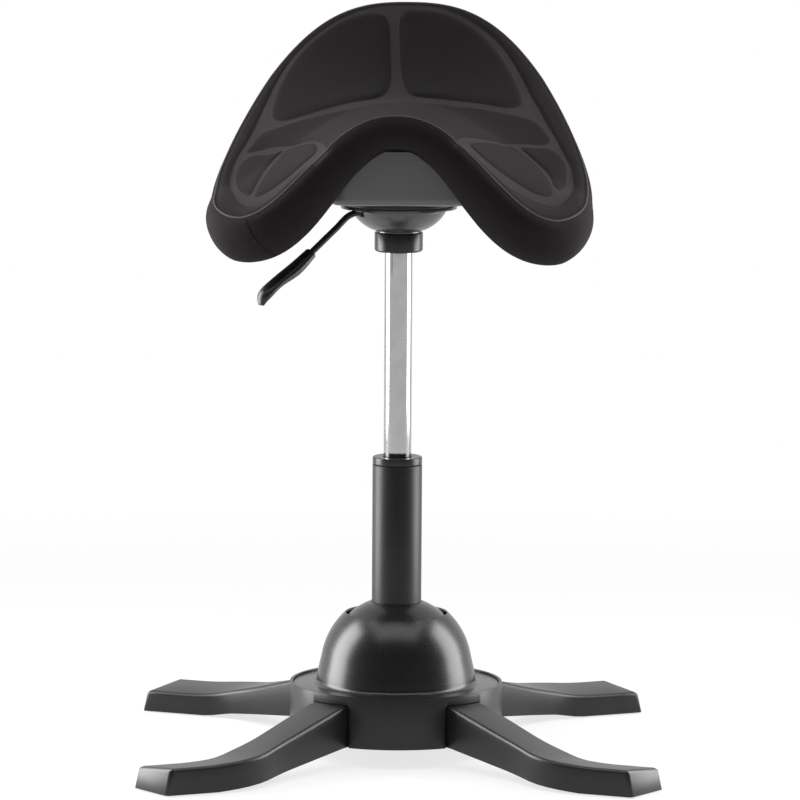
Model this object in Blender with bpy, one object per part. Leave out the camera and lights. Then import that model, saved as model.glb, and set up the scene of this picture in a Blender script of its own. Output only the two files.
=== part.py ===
"""Saddle stool on a tilting column: four-legged nylon base, dome, gas lift, lever and saddle seat.

Metres, +Z up, front of the saddle towards -Y. The origin is on the floor, on the column's axis.
"""

import math

import bmesh
import bpy
from mathutils import Matrix, Vector
from mathutils.geometry import delaunay_2d_cdt

# Fits
seat_gap = 0.0003
running_gap = 0.0003

# Hub
hub_radius = 0.1070
hub_wall = 0.0030
hub_bottom = 0.0200
hub_height = 0.0520
hub_top = hub_bottom + hub_height
hub_ledge = 0.0030
hub_floor_rise = 0.0050
hub_floor_z = hub_bottom + hub_floor_rise
hub_floor_thickness = 0.0040
well_radius = 0.0580
well_floor_thickness = 0.0030
lip_depth = 0.0045
boss_circle = 0.0900
boss_angle = math.radians(26.0)
boss_radius = 0.0060
dome_boss_length = 0.0072
dome_screw_radius = 0.0018
dome_screw_head_radius = 0.0040
dome_screw_head_height = 0.0030

# Legs
leg_root_angle = math.radians(51.0)
leg_foot_angle = math.radians(22.5)
leg_root_start = 0.0690
leg_bend_distance = 0.2547
leg_bend_radius = 0.0700
leg_foot_length = 0.0680
leg_root_width = 0.0430
leg_foot_width = 0.0540
leg_root_setback = 0.0090
leg_root_top = hub_top - leg_root_setback
leg_foot_top_outer = 0.0285
leg_foot_top_inner = 0.0230
leg_root_rise = 0.0010
leg_root_underside = hub_bottom + leg_root_rise
leg_underside = 0.0015
leg_foot_flat = 0.0350
leg_flare_lead = 0.0600
leg_flare_length = 0.0700
leg_row_spacing = 0.0230
leg_heel_distance = 0.2800
leg_root_slope = -0.205
leg_edge_round = 0.0030
leg_end_skew = 0.0140
leg_end_draft = 0.0050
leg_wall = 0.0035
leg_rib = 0.0035
leg_pocket_count = 3
leg_pocket_lead = 0.0200
leg_pocket_tail = 0.0120
leg_window_clearance = 0.0008
leg_bolt_reach = 0.0860
leg_bolt_radius = 0.0030
leg_bolt_head_radius = 0.0050
leg_bolt_head_height = 0.0040
leg_bolt_top = 0.0480
glide_setback = 0.0400
glide_radius = 0.0150
glide_recess = 0.0020
glide_stem_radius = 0.0040
glide_stem_length = 0.0100

# Dome and the cap that turns inside it
tilt_height = 0.0860
dome_radius = 0.0765
dome_wall = 0.0026
dome_opening_angle = math.radians(42.3)
dome_foot_radius = 0.0800
dome_fillet = 0.0050
dome_flange_thickness = 0.0027
cap_radius = 0.0723
cap_wall = 0.0025
cap_edge_angle = math.radians(62.0)
cap_collar_wall = 0.0027
cap_collar_length = 0.0120

# Tilt joint
housing_inner = 0.0620
housing_wall = 0.0040
housing_rise = 0.0100
housing_top = tilt_height + housing_rise
housing_lug_reach = 0.0840
housing_lug_width = 0.0240
housing_lug_thickness = 0.0050
lug_screw_setback = 0.0075
lug_screw_radius = 0.0025
lug_screw_head_radius = 0.0045
lug_screw_head_height = 0.0040
pin_radius = 0.0050
pin_boss_radius = 0.0100
pin_boss_inner = 0.0465
gimbal_inner = 0.0340
gimbal_outer = 0.0430
gimbal_height = 0.0160
sleeve_wall = 0.0037
sleeve_bottom = 0.0440
sleeve_top = 0.1120
sleeve_flange_radius = 0.0480
sleeve_flange_thickness = 0.0040
sleeve_boss_reach = 0.0318
sleeve_boss_radius = 0.0090
sleeve_pin_gap = 0.0012
gusset_top = 0.0640
gusset_reach = 0.0440
gusset_thickness = 0.0030
centring_ring_inner = 0.0380
centring_ring_outer = 0.0500

# Gas lift
tube_radius = 0.0250
tube_wall = 0.0020
tube_bottom = 0.0300
tube_length = 0.2710
tube_top = tube_bottom + tube_length
tube_end_plate = 0.0040
bush_head = 0.0077
bush_length = 0.0550
lift_radius = 0.0140
lift_wall = 0.0018
lift_overlap = 0.0590
lift_length = 0.3010
lift_bottom = tube_top - lift_overlap
lift_top = lift_bottom + lift_length
lift_taper_length = 0.0400
lift_taper_drop = 0.0006
lift_end_thickness = 0.0040
rod_radius = 0.0050
rod_tail = 0.0038
rod_bottom = tube_bottom - rod_tail
washer_radius = 0.0180
washer_thickness = 0.0020
rod_shoulder_radius = 0.0080
rod_shoulder_thickness = 0.0020
buffer_radius = 0.0090
buffer_thickness = 0.0100
clip_radius = 0.0090
clip_thickness = 0.0022
gland_length = 0.0140
piston_clearance = 0.0035
piston_length = 0.0120
rod_head = 0.0035
valve_length = 0.0237
button_radius = 0.0040
button_length = 0.0270

# Bell, collar and lever
bell_overlap = 0.0340
bell_bottom = lift_top - bell_overlap
bell_height = 0.0473
bell_rim = bell_bottom + bell_height
bell_wall = 0.0030
bell_neck_radius = 0.0190
bell_shoulder_radius = 0.0225
bell_radius = 0.0485
bell_fullness = 1.45
bell_flange_radius = 0.0585
bell_flange_thickness = 0.0033
collar_radius = 0.0243
collar_height = 0.0197
plate_thickness = 0.0071
plate_hole_radius = 0.0360
seat_bolt_circle = 0.0536
seat_bolt_radius = 0.0025
seat_bolt_head_radius = 0.0042
seat_bolt_head_height = 0.0030
lever_azimuth = math.radians(215.0)
lever_rod_radius = 0.00325
lever_pivot_depth = 0.0055
lever_height = bell_rim - lever_pivot_depth
lever_pivot_reach = 0.0340
lever_pin_radius = 0.0015
lever_pin_length = 0.0170
lever_lug_thickness = 0.0040
lever_lug_gap = 0.0006
lever_slot_width = 0.0095
lever_slot_play = 0.0013
lever_tip_inset = 0.0010
grip_rod_depth = 0.0150
lever_straight_reach = 0.0536
lever_knee_reach = 0.0751
lever_knee_drop = 0.0126
grip_reach = 0.1073
grip_drop = 0.0365
grip_run = 0.0606
grip_fall = 0.0487
grip_half_thickness = 0.0070
grip_half_width = 0.0088

# Seat
front_fullness = 4.1
rear_fullness = 2.31
seat_length_front = 0.1500
seat_half_width = 0.1858
seat_length_rear = 0.1690
saddle_rise = 0.0938
cantle_rise = 0.0853
cantle_start = 0.0096
cantle_run = 0.1766
cantle_power = 1.65
arch_drop = 0.0925
arch_front_drop = 0.7915
arch_width = 0.1982
arch_flare = 0.2437
arch_power = 1.18
arch_rear_power = 1.79
foam_thickness = 0.0251
flap_padding = 0.0159
cushion_bulge = 0.0082
cushion_draw = 0.0180
cushion_tuck = 0.1000
band_inset = 0.0140
band_width = 0.0090
pad_crown = 0.0045
channel_depth = 0.0015
border_crown = 0.0025
panel_inset = 0.0050
panel_corner = 0.0080
rib_inset = 0.0020
outline_points = 40
board_thickness = 0.0080
board_scale = 0.8600
board_pocket_scale = 0.8660
pan_half_width = 0.0720
pan_front = 0.0950
pan_rear = 0.1100
pan_corner = 0.0200
pan_edge_round = 0.0080
pan_wall = 0.0025
pan_draft = 0.0040
bracket_half_width = 0.0560
bracket_half_length = 0.0500
bracket_thickness = 0.0030
bracket_web_setback = 0.0050
board_screw_radius = 0.0020
board_screw_head_radius = 0.0040
board_screw_head_height = 0.0020
board_screw_spread = 0.0200
board_screw_play = 0.0009
tab_half_width = 0.0280
tab_reach = 0.0180
tab_thickness = 0.0040

# Facets
fine_segments = 36
round_segments = 28
hidden_segments = 16
small_segments = 12
screw_segments = 6


def clear_scene():
    for thing in list(bpy.data.objects):
        bpy.data.objects.remove(thing, do_unlink=True)


def finish(name, colour, roughness, metallic):
    """A surface finish, made once under its name."""
    material = bpy.data.materials.get(name)
    if material is None:
        material = bpy.data.materials.new(name)
        material.use_nodes = True
        shader = material.node_tree.nodes["Principled BSDF"]
        shader.inputs["Base Color"].default_value = (*colour, 1.0)
        shader.inputs["Roughness"].default_value = roughness
        shader.inputs["Metallic"].default_value = metallic
        material.diffuse_color = (*colour, 1.0)
    return material


def black_nylon():
    return finish("black_nylon", (0.030, 0.030, 0.031), 0.42, 0.0)


def gloss_black():
    return finish("gloss_black_plastic", (0.022, 0.022, 0.023), 0.22, 0.0)


def grey_plastic():
    return finish("grey_plastic", (0.085, 0.083, 0.084), 0.45, 0.0)


def black_steel():
    return finish("black_painted_steel", (0.026, 0.025, 0.026), 0.40, 0.3)


def chrome():
    return finish("chrome", (0.62, 0.62, 0.63), 0.12, 1.0)


def plain_steel():
    return finish("steel", (0.52, 0.52, 0.53), 0.35, 1.0)


def cast_metal():
    return finish("die_cast", (0.40, 0.40, 0.41), 0.5, 1.0)


def rubber():
    return finish("rubber", (0.018, 0.018, 0.018), 0.8, 0.0)


def pale_nylon():
    return finish("pale_nylon", (0.62, 0.60, 0.56), 0.5, 0.0)


def plywood():
    return finish("plywood", (0.52, 0.36, 0.21), 0.65, 0.0)


def black_fabric():
    return finish("black_fabric", (0.021, 0.018, 0.019), 0.95, 0.0)


def new_object(name, mesh, material=None):
    part = bpy.data.objects.new(name, mesh)
    bpy.context.scene.collection.objects.link(part)
    if material is not None:
        part.data.materials.append(material)
    return part


def mesh_from(name, build):
    """A mesh whose geometry the given function draws in a bmesh."""
    mesh = bpy.data.meshes.new(name)
    bm = bmesh.new()
    build(bm)
    bmesh.ops.remove_doubles(bm, verts=bm.verts, dist=0.000005)
    bmesh.ops.recalc_face_normals(bm, faces=bm.faces)
    bm.to_mesh(mesh)
    bm.free()
    return mesh


def smooth(part, angle=35.0):
    part.data.shade_smooth()
    part.data.set_sharp_from_angle(angle=math.radians(angle))
    return part


def turned(name, profile, segments, material=None):
    """A solid turned about Z from a closed outline of (radius, height) points.

    Its facets face the X and Y axes, so that no edge lies on them.
    """

    def build(bm):
        corners = [bm.verts.new((radius, 0.0, height)) for radius, height in profile]
        edges = []
        for index, corner in enumerate(corners):
            following = corners[(index + 1) % len(corners)]
            if corner.co.x > 0.0 or following.co.x > 0.0:
                edges.append(bm.edges.new((corner, following)))
        bmesh.ops.spin(
            bm,
            geom=corners + edges,
            cent=(0.0, 0.0, 0.0),
            axis=(0.0, 0.0, 1.0),
            angle=2.0 * math.pi,
            steps=segments,
            use_merge=True,
        )
        loose = [vert for vert in bm.verts if not vert.link_faces]
        bmesh.ops.delete(bm, geom=loose, context="VERTS")
        bm.transform(Matrix.Rotation(math.pi / segments, 4, "Z"))

    return smooth(new_object(name, mesh_from(name, build), material))


def cylinder(name, radius, bottom, top, segments, material=None):
    return turned(name, [(0.0, bottom), (radius, bottom), (radius, top), (0.0, top)], segments, material)


def ring(name, inner, outer, bottom, top, segments, material=None):
    return turned(name, [(inner, bottom), (outer, bottom), (outer, top), (inner, top)], segments, material)


def prism(name, outline, bottom, top, material=None):
    """A flat plate with the given plan outline."""

    def build(bm):
        face = bm.faces.new([bm.verts.new((x, y, bottom)) for x, y in outline])
        result = bmesh.ops.extrude_face_region(bm, geom=[face])
        raised = [item for item in result["geom"] if isinstance(item, bmesh.types.BMVert)]
        bmesh.ops.translate(bm, verts=raised, vec=(0.0, 0.0, top - bottom))

    return new_object(name, mesh_from(name, build), material)


def box(name, low, high, material=None):
    outline = [(low[0], low[1]), (high[0], low[1]), (high[0], high[1]), (low[0], high[1])]
    return prism(name, outline, low[2], high[2], material)


def rod_between(name, start, end, radius, segments, material=None):
    """A round bar between two points."""
    start = Vector(start)
    end = Vector(end)
    bar = cylinder(name, radius, 0.0, (end - start).length, segments, material)
    turn = Vector((0.0, 0.0, 1.0)).rotation_difference(end - start)
    bar.data.transform(Matrix.Translation(start) @ turn.to_matrix().to_4x4())
    return bar


def loft(name, sections, material=None):
    """A solid skinned through closed sections that have the same number of points."""

    def build(bm):
        rows = [[bm.verts.new(point) for point in section] for section in sections]
        count = len(rows[0])
        for row, following in zip(rows, rows[1:]):
            for index in range(count):
                after = (index + 1) % count
                bm.faces.new((row[index], row[after], following[after], following[index]))
        bm.faces.new(list(reversed(rows[0])))
        bm.faces.new(rows[-1])

    return new_object(name, mesh_from(name, build), material)


def combine(part, tools, operation):
    """Join or cut the part with other solids, which are used up."""
    for tool in tools:
        modifier = part.modifiers.new(operation.lower(), "BOOLEAN")
        modifier.operation = operation
        modifier.object = tool
        modifier.solver = "EXACT"
        depsgraph = bpy.context.evaluated_depsgraph_get()
        mesh = bpy.data.meshes.new_from_object(part.evaluated_get(depsgraph))
        part.modifiers.clear()
        part.data = mesh
    for tool in tools:
        bpy.data.objects.remove(tool, do_unlink=True)
    return part


def cut(part, *tools):
    return combine(part, tools, "DIFFERENCE")


def join(part, *tools):
    return combine(part, tools, "UNION")


def cleaned(part, angle=35.0):
    """Weld the seams that a cut leaves and shade the part."""
    bm = bmesh.new()
    bm.from_mesh(part.data)
    bmesh.ops.remove_doubles(bm, verts=bm.verts, dist=0.000001)
    bm.to_mesh(part.data)
    bm.free()
    return smooth(part, angle)


def repeated(name, pattern, labels, places):
    """Copies of one fastener that share its mesh, one at each place."""
    for label, place in zip(labels, places):
        copy = new_object(f"{name}_{label}", pattern.data)
        copy.location = place
    bpy.data.objects.remove(pattern, do_unlink=True)


def around(angle, reach):
    return Vector((reach * math.cos(angle), reach * math.sin(angle), 0.0))


def moved(part, offset):
    part.data.transform(Matrix.Translation(offset))
    return part


def rotated(part, angle):
    part.data.transform(Matrix.Rotation(angle, 4, "Z"))
    return part


def turned_leg_point(distance):
    """Plan position and heading of a leg's centreline, for the leg towards +X +Y."""
    turn = leg_root_angle - leg_foot_angle
    bend_start = leg_bend_distance - leg_bend_radius * math.tan(turn / 2.0)
    bend_length = leg_bend_radius * turn
    along = min(max(distance - bend_start, 0.0), bend_length)
    heading = leg_root_angle - along / leg_bend_radius
    straight = min(distance, bend_start)
    point = around(leg_root_angle, straight)
    point += Vector((
        leg_bend_radius * (math.sin(leg_root_angle) - math.sin(heading)),
        leg_bend_radius * (math.cos(heading) - math.cos(leg_root_angle)),
        0.0,
    ))
    point += around(heading, max(distance - bend_start - bend_length, 0.0))
    return point, heading


def leg_length():
    turn = leg_root_angle - leg_foot_angle
    bend_start = leg_bend_distance - leg_bend_radius * math.tan(turn / 2.0)
    return bend_start + leg_bend_radius * turn + leg_foot_length


def eased(value):
    value = min(max(value, 0.0), 1.0)
    return value * value * (3.0 - 2.0 * value)


def leg_half_width(distance):
    share = eased((distance - leg_bend_distance + leg_flare_lead) / leg_flare_length)
    return 0.5 * (leg_root_width + (leg_foot_width - leg_root_width) * share)


def leg_top(distance, foot_top):
    """Height of the leg's top: a straight slope from the hub that eases onto the foot."""
    run = leg_length() - leg_foot_flat - hub_radius
    share = min(max((distance - hub_radius) / run, 0.0), 1.0)
    start_slope = leg_root_slope * run / (leg_root_top - foot_top)
    easing = 2.0 * share ** 3 - 3.0 * share ** 2 + 1.0
    slope_part = share ** 3 - 2.0 * share ** 2 + share
    return foot_top + (leg_root_top - foot_top) * (easing + start_slope * slope_part)


def leg_bottom(distance):
    share = (distance - hub_radius) / (leg_heel_distance - hub_radius)
    share = min(max(share, 0.0), 1.0)
    return leg_root_underside + (leg_underside - leg_root_underside) * share


def leg_section(distance, inset=0.0, bottom=None, shift_outer=0.0, shift_inner=0.0, draft=0.0):
    """One closed section across a leg, from the inner foot side round to the outer one."""
    point, heading = turned_leg_point(distance)
    ahead = around(heading, 1.0)
    outward = Vector((-ahead.y, ahead.x, 0.0))
    half = leg_half_width(distance) - inset
    low = leg_bottom(distance) if bottom is None else bottom
    high_outer = leg_top(distance, leg_foot_top_outer) - inset
    high_inner = leg_top(distance, leg_foot_top_inner) - inset
    edge = leg_edge_round
    soft = 0.3 * edge
    stations = [
        (-half, low, draft),
        (half, low, draft),
        (half, high_outer - edge, 0.0),
        (half - soft, high_outer - soft, 0.0),
        (half - edge, high_outer, 0.0),
        (edge - half, high_inner, 0.0),
        (soft - half, high_inner - soft, 0.0),
        (-half, high_inner - edge, 0.0),
    ]
    section = []
    for side, height, forward in stations:
        share = 0.5 + 0.5 * side / half
        shift = shift_inner + (shift_outer - shift_inner) * share + forward
        place = point + outward * side + ahead * shift
        section.append((place.x, place.y, height))
    return section


def leg_step():
    """Where the leg drops below the hub's floor, just inside the hub's wall."""
    return hub_radius - hub_wall - 0.0015


def make_leg(name, side_x, side_y):
    floor_top = hub_floor_z + hub_floor_thickness + seat_gap
    step = leg_step()
    end = leg_length()
    skew = 0.5 * leg_end_skew
    sections = [
        leg_section(leg_root_start, bottom=floor_top),
        leg_section(step - 0.0002, bottom=floor_top),
        leg_section(step),
    ]
    distance = hub_radius + 0.8 * leg_row_spacing
    while distance < end - 0.5 * leg_row_spacing:
        sections.append(leg_section(distance))
        distance += leg_row_spacing
    corner = leg_edge_round
    sections.append(leg_section(end - corner, 0.0, None, -skew, skew, leg_end_draft))
    sections.append(leg_section(end, corner, leg_bottom(end), -skew, skew, leg_end_draft))
    leg = loft(name, sections, black_nylon())
    tools = []
    pocket_start = hub_radius + leg_pocket_lead
    pocket_span = (leg_bend_distance - leg_pocket_tail - pocket_start) / leg_pocket_count
    for index in range(leg_pocket_count):
        start = pocket_start + index * pocket_span
        stop = start + pocket_span - leg_rib
        middle = 0.5 * (start + stop)
        rows = [leg_section(at, leg_wall, -0.01) for at in (start, middle, stop)]
        tools.append(loft("pocket", rows))
    place = turned_leg_point(glide_distance())[0]
    recess_top = leg_underside + glide_recess
    tools.append(moved(cylinder("recess", glide_radius + seat_gap, -0.001, recess_top, small_segments), place))
    stem_top = recess_top + glide_stem_length
    tools.append(moved(cylinder("stem", glide_stem_radius + seat_gap, 0.0, stem_top, small_segments), place))
    hole = cylinder("hole", leg_bolt_radius + seat_gap, floor_top - 0.001, leg_bolt_top, screw_segments)
    tools.append(moved(hole, leg_bolt_place()))
    cut(leg, *tools)
    leg.data.transform(Matrix.Diagonal((side_x, side_y, 1.0, 1.0)))
    if side_x * side_y < 0.0:
        leg.data.flip_normals()
    return cleaned(leg)


def leg_bolt_place():
    return around(leg_root_angle, leg_bolt_reach)


def glide_distance():
    return leg_length() - glide_setback


def quadrants():
    return (("front_left", -1, -1), ("front_right", 1, -1), ("rear_left", -1, 1), ("rear_right", 1, 1))


def make_legs():
    for corner, side_x, side_y in quadrants():
        make_leg("leg_" + corner, side_x, side_y)


def mirrored_place(place, side_x, side_y):
    return Vector((place.x * side_x, place.y * side_y, place.z))


def make_glides():
    place = turned_leg_point(glide_distance())[0]
    top = leg_underside + glide_recess - seat_gap
    stem_top = top + glide_stem_length
    profile = [
        (0.0, 0.0),
        (glide_radius - 0.001, 0.0),
        (glide_radius, 0.001),
        (glide_radius, top),
        (glide_stem_radius, top),
        (glide_stem_radius, stem_top),
        (0.0, stem_top),
    ]
    labels, places = at_corners(place)
    repeated("glide", turned("pattern", profile, small_segments, rubber()), labels, places)


def at_corners(place):
    """Names and places of four copies of a piece, one in each quadrant."""
    labels = [label for label, side_x, side_y in quadrants()]
    places = [mirrored_place(place, side_x, side_y) for label, side_x, side_y in quadrants()]
    return labels, places


def headed_screw(shank_radius, head_radius, seat, tip, head_top):
    """A screw whose head lies between seat and head_top and whose shank runs from seat to tip."""
    profile = [(0.0, tip), (shank_radius, tip), (shank_radius, seat)]
    profile += [(head_radius, seat), (head_radius, head_top), (0.0, head_top)]
    return turned("pattern", profile, screw_segments, plain_steel())


def make_leg_bolts():
    seat = hub_floor_z - seat_gap
    tip = leg_bolt_top - 0.001
    bolt = headed_screw(leg_bolt_radius, leg_bolt_head_radius, seat, tip, seat - leg_bolt_head_height)
    labels, places = at_corners(leg_bolt_place())
    repeated("leg_bolt", bolt, labels, places)


def boss_places():
    return [around(boss_angle, boss_circle), around(math.pi + boss_angle, boss_circle)]


def ledge_z():
    return hub_top - lip_depth


def dome_boss_bottom():
    return ledge_z() + seat_gap - dome_boss_length


def make_hub():
    outer = hub_radius
    edge = 0.0010
    lip_inner = outer - hub_wall
    ledge_inner = lip_inner - hub_ledge
    floor_top = hub_floor_z + hub_floor_thickness
    well_top = hub_bottom + well_floor_thickness
    well_outer = well_radius + hub_wall
    profile = [
        (0.0, hub_bottom),
        (well_outer, hub_bottom),
        (well_outer, hub_floor_z),
        (lip_inner, hub_floor_z),
        (lip_inner, hub_bottom),
        (outer, hub_bottom),
        (outer, hub_top - edge),
        (outer - edge, hub_top),
        (lip_inner, hub_top),
        (lip_inner, ledge_z()),
        (ledge_inner, ledge_z()),
        (ledge_inner, floor_top),
        (well_radius, floor_top),
        (well_radius, well_top),
        (0.0, well_top),
    ]
    hub = turned("base_hub", profile, fine_segments, black_nylon())
    bosses = []
    for place in boss_places():
        top = dome_boss_bottom() - seat_gap
        bosses.append(moved(cylinder("boss", boss_radius, floor_top - 0.002, top, small_segments), place))
    join(hub, *bosses)
    tools = []
    clearance = leg_window_clearance
    for corner, side_x, side_y in quadrants():
        floor = floor_top + 0.0001
        below = hub_bottom - 0.002
        step = leg_step() - seat_gap
        window = loft("window", [
            leg_section(outer - 0.012, -clearance, floor),
            leg_section(step - 0.0001, -clearance, floor),
            leg_section(step, -clearance, below),
            leg_section(outer + 0.010, -clearance, below),
        ])
        window.data.transform(Matrix.Diagonal((side_x, side_y, 1.0, 1.0)))
        if side_x * side_y < 0.0:
            window.data.flip_normals()
        tools.append(window)
        place = mirrored_place(leg_bolt_place(), side_x, side_y)
        radius = leg_bolt_radius + seat_gap
        tools.append(moved(cylinder("hole", radius, hub_bottom, floor_top + 0.001, screw_segments), place))
    for place in boss_places():
        radius = dome_screw_radius + seat_gap
        tools.append(moved(cylinder("hole", radius, 0.015, dome_boss_bottom(), screw_segments), place))
    for place in lug_screw_places():
        radius = lug_screw_radius + seat_gap
        tools.append(moved(cylinder("hole", radius, 0.018, floor_top + 0.001, screw_segments), place))
    cut(hub, *tools)
    return cleaned(hub)


def lug_screw_places():
    reach = housing_lug_reach - lug_screw_setback
    return [around(0.5 * math.pi * index, reach) for index in range(4)]


def make_dome_screws():
    seat = hub_floor_z - seat_gap
    tip = dome_boss_bottom() + dome_boss_length - 0.0012
    screw = headed_screw(dome_screw_radius, dome_screw_head_radius, seat, tip, seat - dome_screw_head_height)
    repeated("dome_screw", screw, ("right", "left"), boss_places())


def make_lug_screws():
    seat = hub_floor_z + hub_floor_thickness + seat_gap + housing_lug_thickness + seat_gap
    tip = hub_bottom + 0.0015
    screw = headed_screw(lug_screw_radius, lug_screw_head_radius, seat, tip, seat + lug_screw_head_height)
    repeated("housing_screw", screw, ("right", "rear", "left", "front"), lug_screw_places())


def arc(radius, start, stop, steps, centre_z):
    """Points on a sphere's meridian, at angles measured from the column's axis."""
    points = []
    for index in range(steps + 1):
        angle = start + (stop - start) * index / steps
        points.append((radius * math.sin(angle), centre_z + radius * math.cos(angle)))
    return points


def make_dome():
    flange_bottom = ledge_z() + seat_gap
    flange_top = flange_bottom + dome_flange_thickness
    flange_edge = hub_radius - hub_wall - 0.0004
    foot = dome_foot_radius
    waist = math.radians(80.0)
    outer = arc(dome_radius, waist, dome_opening_angle, 4, tilt_height)
    inner_radius = dome_radius - dome_wall
    rim = dome_opening_angle + math.radians(0.8)
    inner = arc(inner_radius, rim, waist, 3, tilt_height)
    fillet = []
    for index in range(3):
        angle = math.radians(45.0 * index)
        fillet.append((
            foot + dome_fillet * (1.0 - math.sin(angle)),
            flange_top + dome_fillet * (1.0 - math.cos(angle)),
        ))
    flare = 0.5 * (foot + dome_radius) + 0.0002
    profile = [(foot - dome_wall, flange_bottom), (flange_edge, flange_bottom), (flange_edge, flange_top)]
    profile += fillet
    profile += [(flare, tilt_height)]
    profile += outer
    profile += inner
    profile += [(flare - dome_wall, tilt_height)]
    dome = turned("dome_cover", profile, fine_segments, black_nylon())
    bottom = dome_boss_bottom()
    bosses = [
        moved(cylinder("boss", boss_radius - 0.001, bottom, flange_bottom + 0.001, small_segments), place)
        for place in boss_places()
    ]
    join(dome, *bosses)
    radius = dome_screw_radius + seat_gap
    top = flange_bottom - 0.0005
    cut(dome, *[moved(cylinder("hole", radius, bottom - 0.001, top, screw_segments), place) for place in boss_places()])
    return cleaned(dome)


def make_housing():
    bottom = hub_floor_z + hub_floor_thickness + seat_gap
    outer = housing_inner + housing_wall
    housing = ring("tilt_housing", housing_inner, outer, bottom, housing_top, round_segments, cast_metal())
    lugs = []
    for index in range(4):
        low = (housing_inner + 0.001, -0.5 * housing_lug_width, bottom)
        high = (housing_lug_reach, 0.5 * housing_lug_width, bottom + housing_lug_thickness)
        lugs.append(rotated(box("lug", low, high), 0.5 * math.pi * index))
    for side in (-1.0, 1.0):
        start = (side * pin_boss_inner, 0.0, tilt_height)
        stop = (side * (housing_inner + 0.5 * housing_wall), 0.0, tilt_height)
        lugs.append(rod_between("boss", start, stop, pin_boss_radius, small_segments))
    join(housing, *lugs)
    tools = []
    for side in (-1.0, 1.0):
        start = (side * (pin_boss_inner - 0.003), 0.0, tilt_height)
        stop = (side * (outer + 0.003), 0.0, tilt_height)
        tools.append(rod_between("bore", start, stop, pin_radius + running_gap, hidden_segments))
    for place in lug_screw_places():
        radius = lug_screw_radius + seat_gap
        tools.append(moved(cylinder("hole", radius, bottom - 0.002, bottom + 0.010, screw_segments), place))
    cut(housing, *tools)
    return cleaned(housing)


def pin_pair(names, axis, start, stop):
    """Two equal pins on one horizontal axis, either side of the column."""
    for name, side in zip(names, (-1.0, 1.0)):
        first = Vector(axis) * (side * start)
        last = Vector(axis) * (side * stop)
        first.z = tilt_height
        last.z = tilt_height
        rod_between(name, first, last, pin_radius, small_segments, plain_steel())


def make_gimbal():
    low = tilt_height - 0.5 * gimbal_height
    high = low + gimbal_height
    gimbal = ring("gimbal_ring", gimbal_inner, gimbal_outer, low, high, round_segments, cast_metal())
    tools = []
    for axis in ((1.0, 0.0, 0.0), (0.0, 1.0, 0.0)):
        for side in (-1.0, 1.0):
            first = Vector(axis) * (side * (gimbal_inner - 0.004))
            last = Vector(axis) * (side * (gimbal_outer + 0.004))
            first.z = tilt_height
            last.z = tilt_height
            tools.append(rod_between("bore", first, last, pin_radius + running_gap, hidden_segments))
    cut(gimbal, *tools)
    cleaned(gimbal)
    outer = housing_inner + housing_wall - 0.001
    pin_pair(("housing_pin_left", "housing_pin_right"), (1.0, 0.0, 0.0), gimbal_inner + 0.001, outer)
    inner = tube_radius + sleeve_pin_gap
    pin_pair(("sleeve_pin_front", "sleeve_pin_rear"), (0.0, 1.0, 0.0), inner, gimbal_outer - 0.0005)


def make_sleeve():
    inner = tube_radius + seat_gap
    outer = inner + sleeve_wall
    flange_top = sleeve_bottom + sleeve_flange_thickness
    profile = [
        (inner, sleeve_bottom),
        (sleeve_flange_radius, sleeve_bottom),
        (sleeve_flange_radius, flange_top),
        (outer, flange_top),
        (outer, sleeve_top),
        (inner, sleeve_top),
    ]
    sleeve = turned("column_sleeve", profile, round_segments, black_steel())
    additions = []
    for side in (-1.0, 1.0):
        start = (0.0, side * (inner + 0.001), tilt_height)
        stop = (0.0, side * sleeve_boss_reach, tilt_height)
        additions.append(rod_between("boss", start, stop, sleeve_boss_radius, small_segments))
    for index in range(4):
        outline = [
            (inner + 0.001, flange_top - 0.001),
            (gusset_reach, flange_top - 0.001),
            (outer + 0.001, gusset_top),
            (inner + 0.001, gusset_top),
        ]
        gusset = prism("gusset", outline, -0.5 * gusset_thickness, 0.5 * gusset_thickness)
        gusset.data.transform(Matrix.Rotation(math.radians(90.0), 4, "X"))
        additions.append(rotated(gusset, math.radians(45.0 + 90.0 * index)))
    join(sleeve, *additions)
    tools = []
    for side in (-1.0, 1.0):
        start = (0.0, side * (inner - 0.004), tilt_height)
        stop = (0.0, side * (sleeve_boss_reach + 0.004), tilt_height)
        tools.append(rod_between("bore", start, stop, pin_radius + running_gap, hidden_segments))
    cut(sleeve, *tools)
    return cleaned(sleeve)


def make_centring_ring():
    bottom = hub_bottom + well_floor_thickness + seat_gap
    top = sleeve_bottom - seat_gap
    waist = 0.5 * (bottom + top)
    pinch = 0.0015
    profile = [
        (centring_ring_inner, bottom),
        (centring_ring_outer, bottom),
        (centring_ring_outer - pinch, waist),
        (centring_ring_outer, top),
        (centring_ring_inner, top),
        (centring_ring_inner + pinch, waist),
    ]
    return turned("centring_ring", profile, hidden_segments, rubber())


def make_cap():
    inner_edge = tube_radius + seat_gap
    collar_outer = inner_edge + cap_collar_wall
    inner_radius = cap_radius - cap_wall
    outer = arc(cap_radius, math.asin(inner_edge / cap_radius), cap_edge_angle, 6, tilt_height)
    inner = arc(inner_radius, cap_edge_angle, math.asin(collar_outer / inner_radius), 4, tilt_height)
    collar_bottom = outer[0][1] - cap_collar_length
    profile = outer + inner + [(collar_outer, collar_bottom), (inner_edge, collar_bottom)]
    return turned("column_cap", profile, round_segments, black_nylon())


def make_column_tube():
    inner = tube_radius - tube_wall
    plate_top = tube_bottom + tube_end_plate
    hole = rod_radius + running_gap
    mouth = tube_top - bush_head - seat_gap
    profile = [
        (hole, tube_bottom),
        (tube_radius - 0.001, tube_bottom),
        (tube_radius, tube_bottom + 0.001),
        (tube_radius, mouth),
        (inner, mouth),
        (inner, plate_top),
        (hole, plate_top),
    ]
    return turned("outer_tube", profile, round_segments, black_steel())


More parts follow.
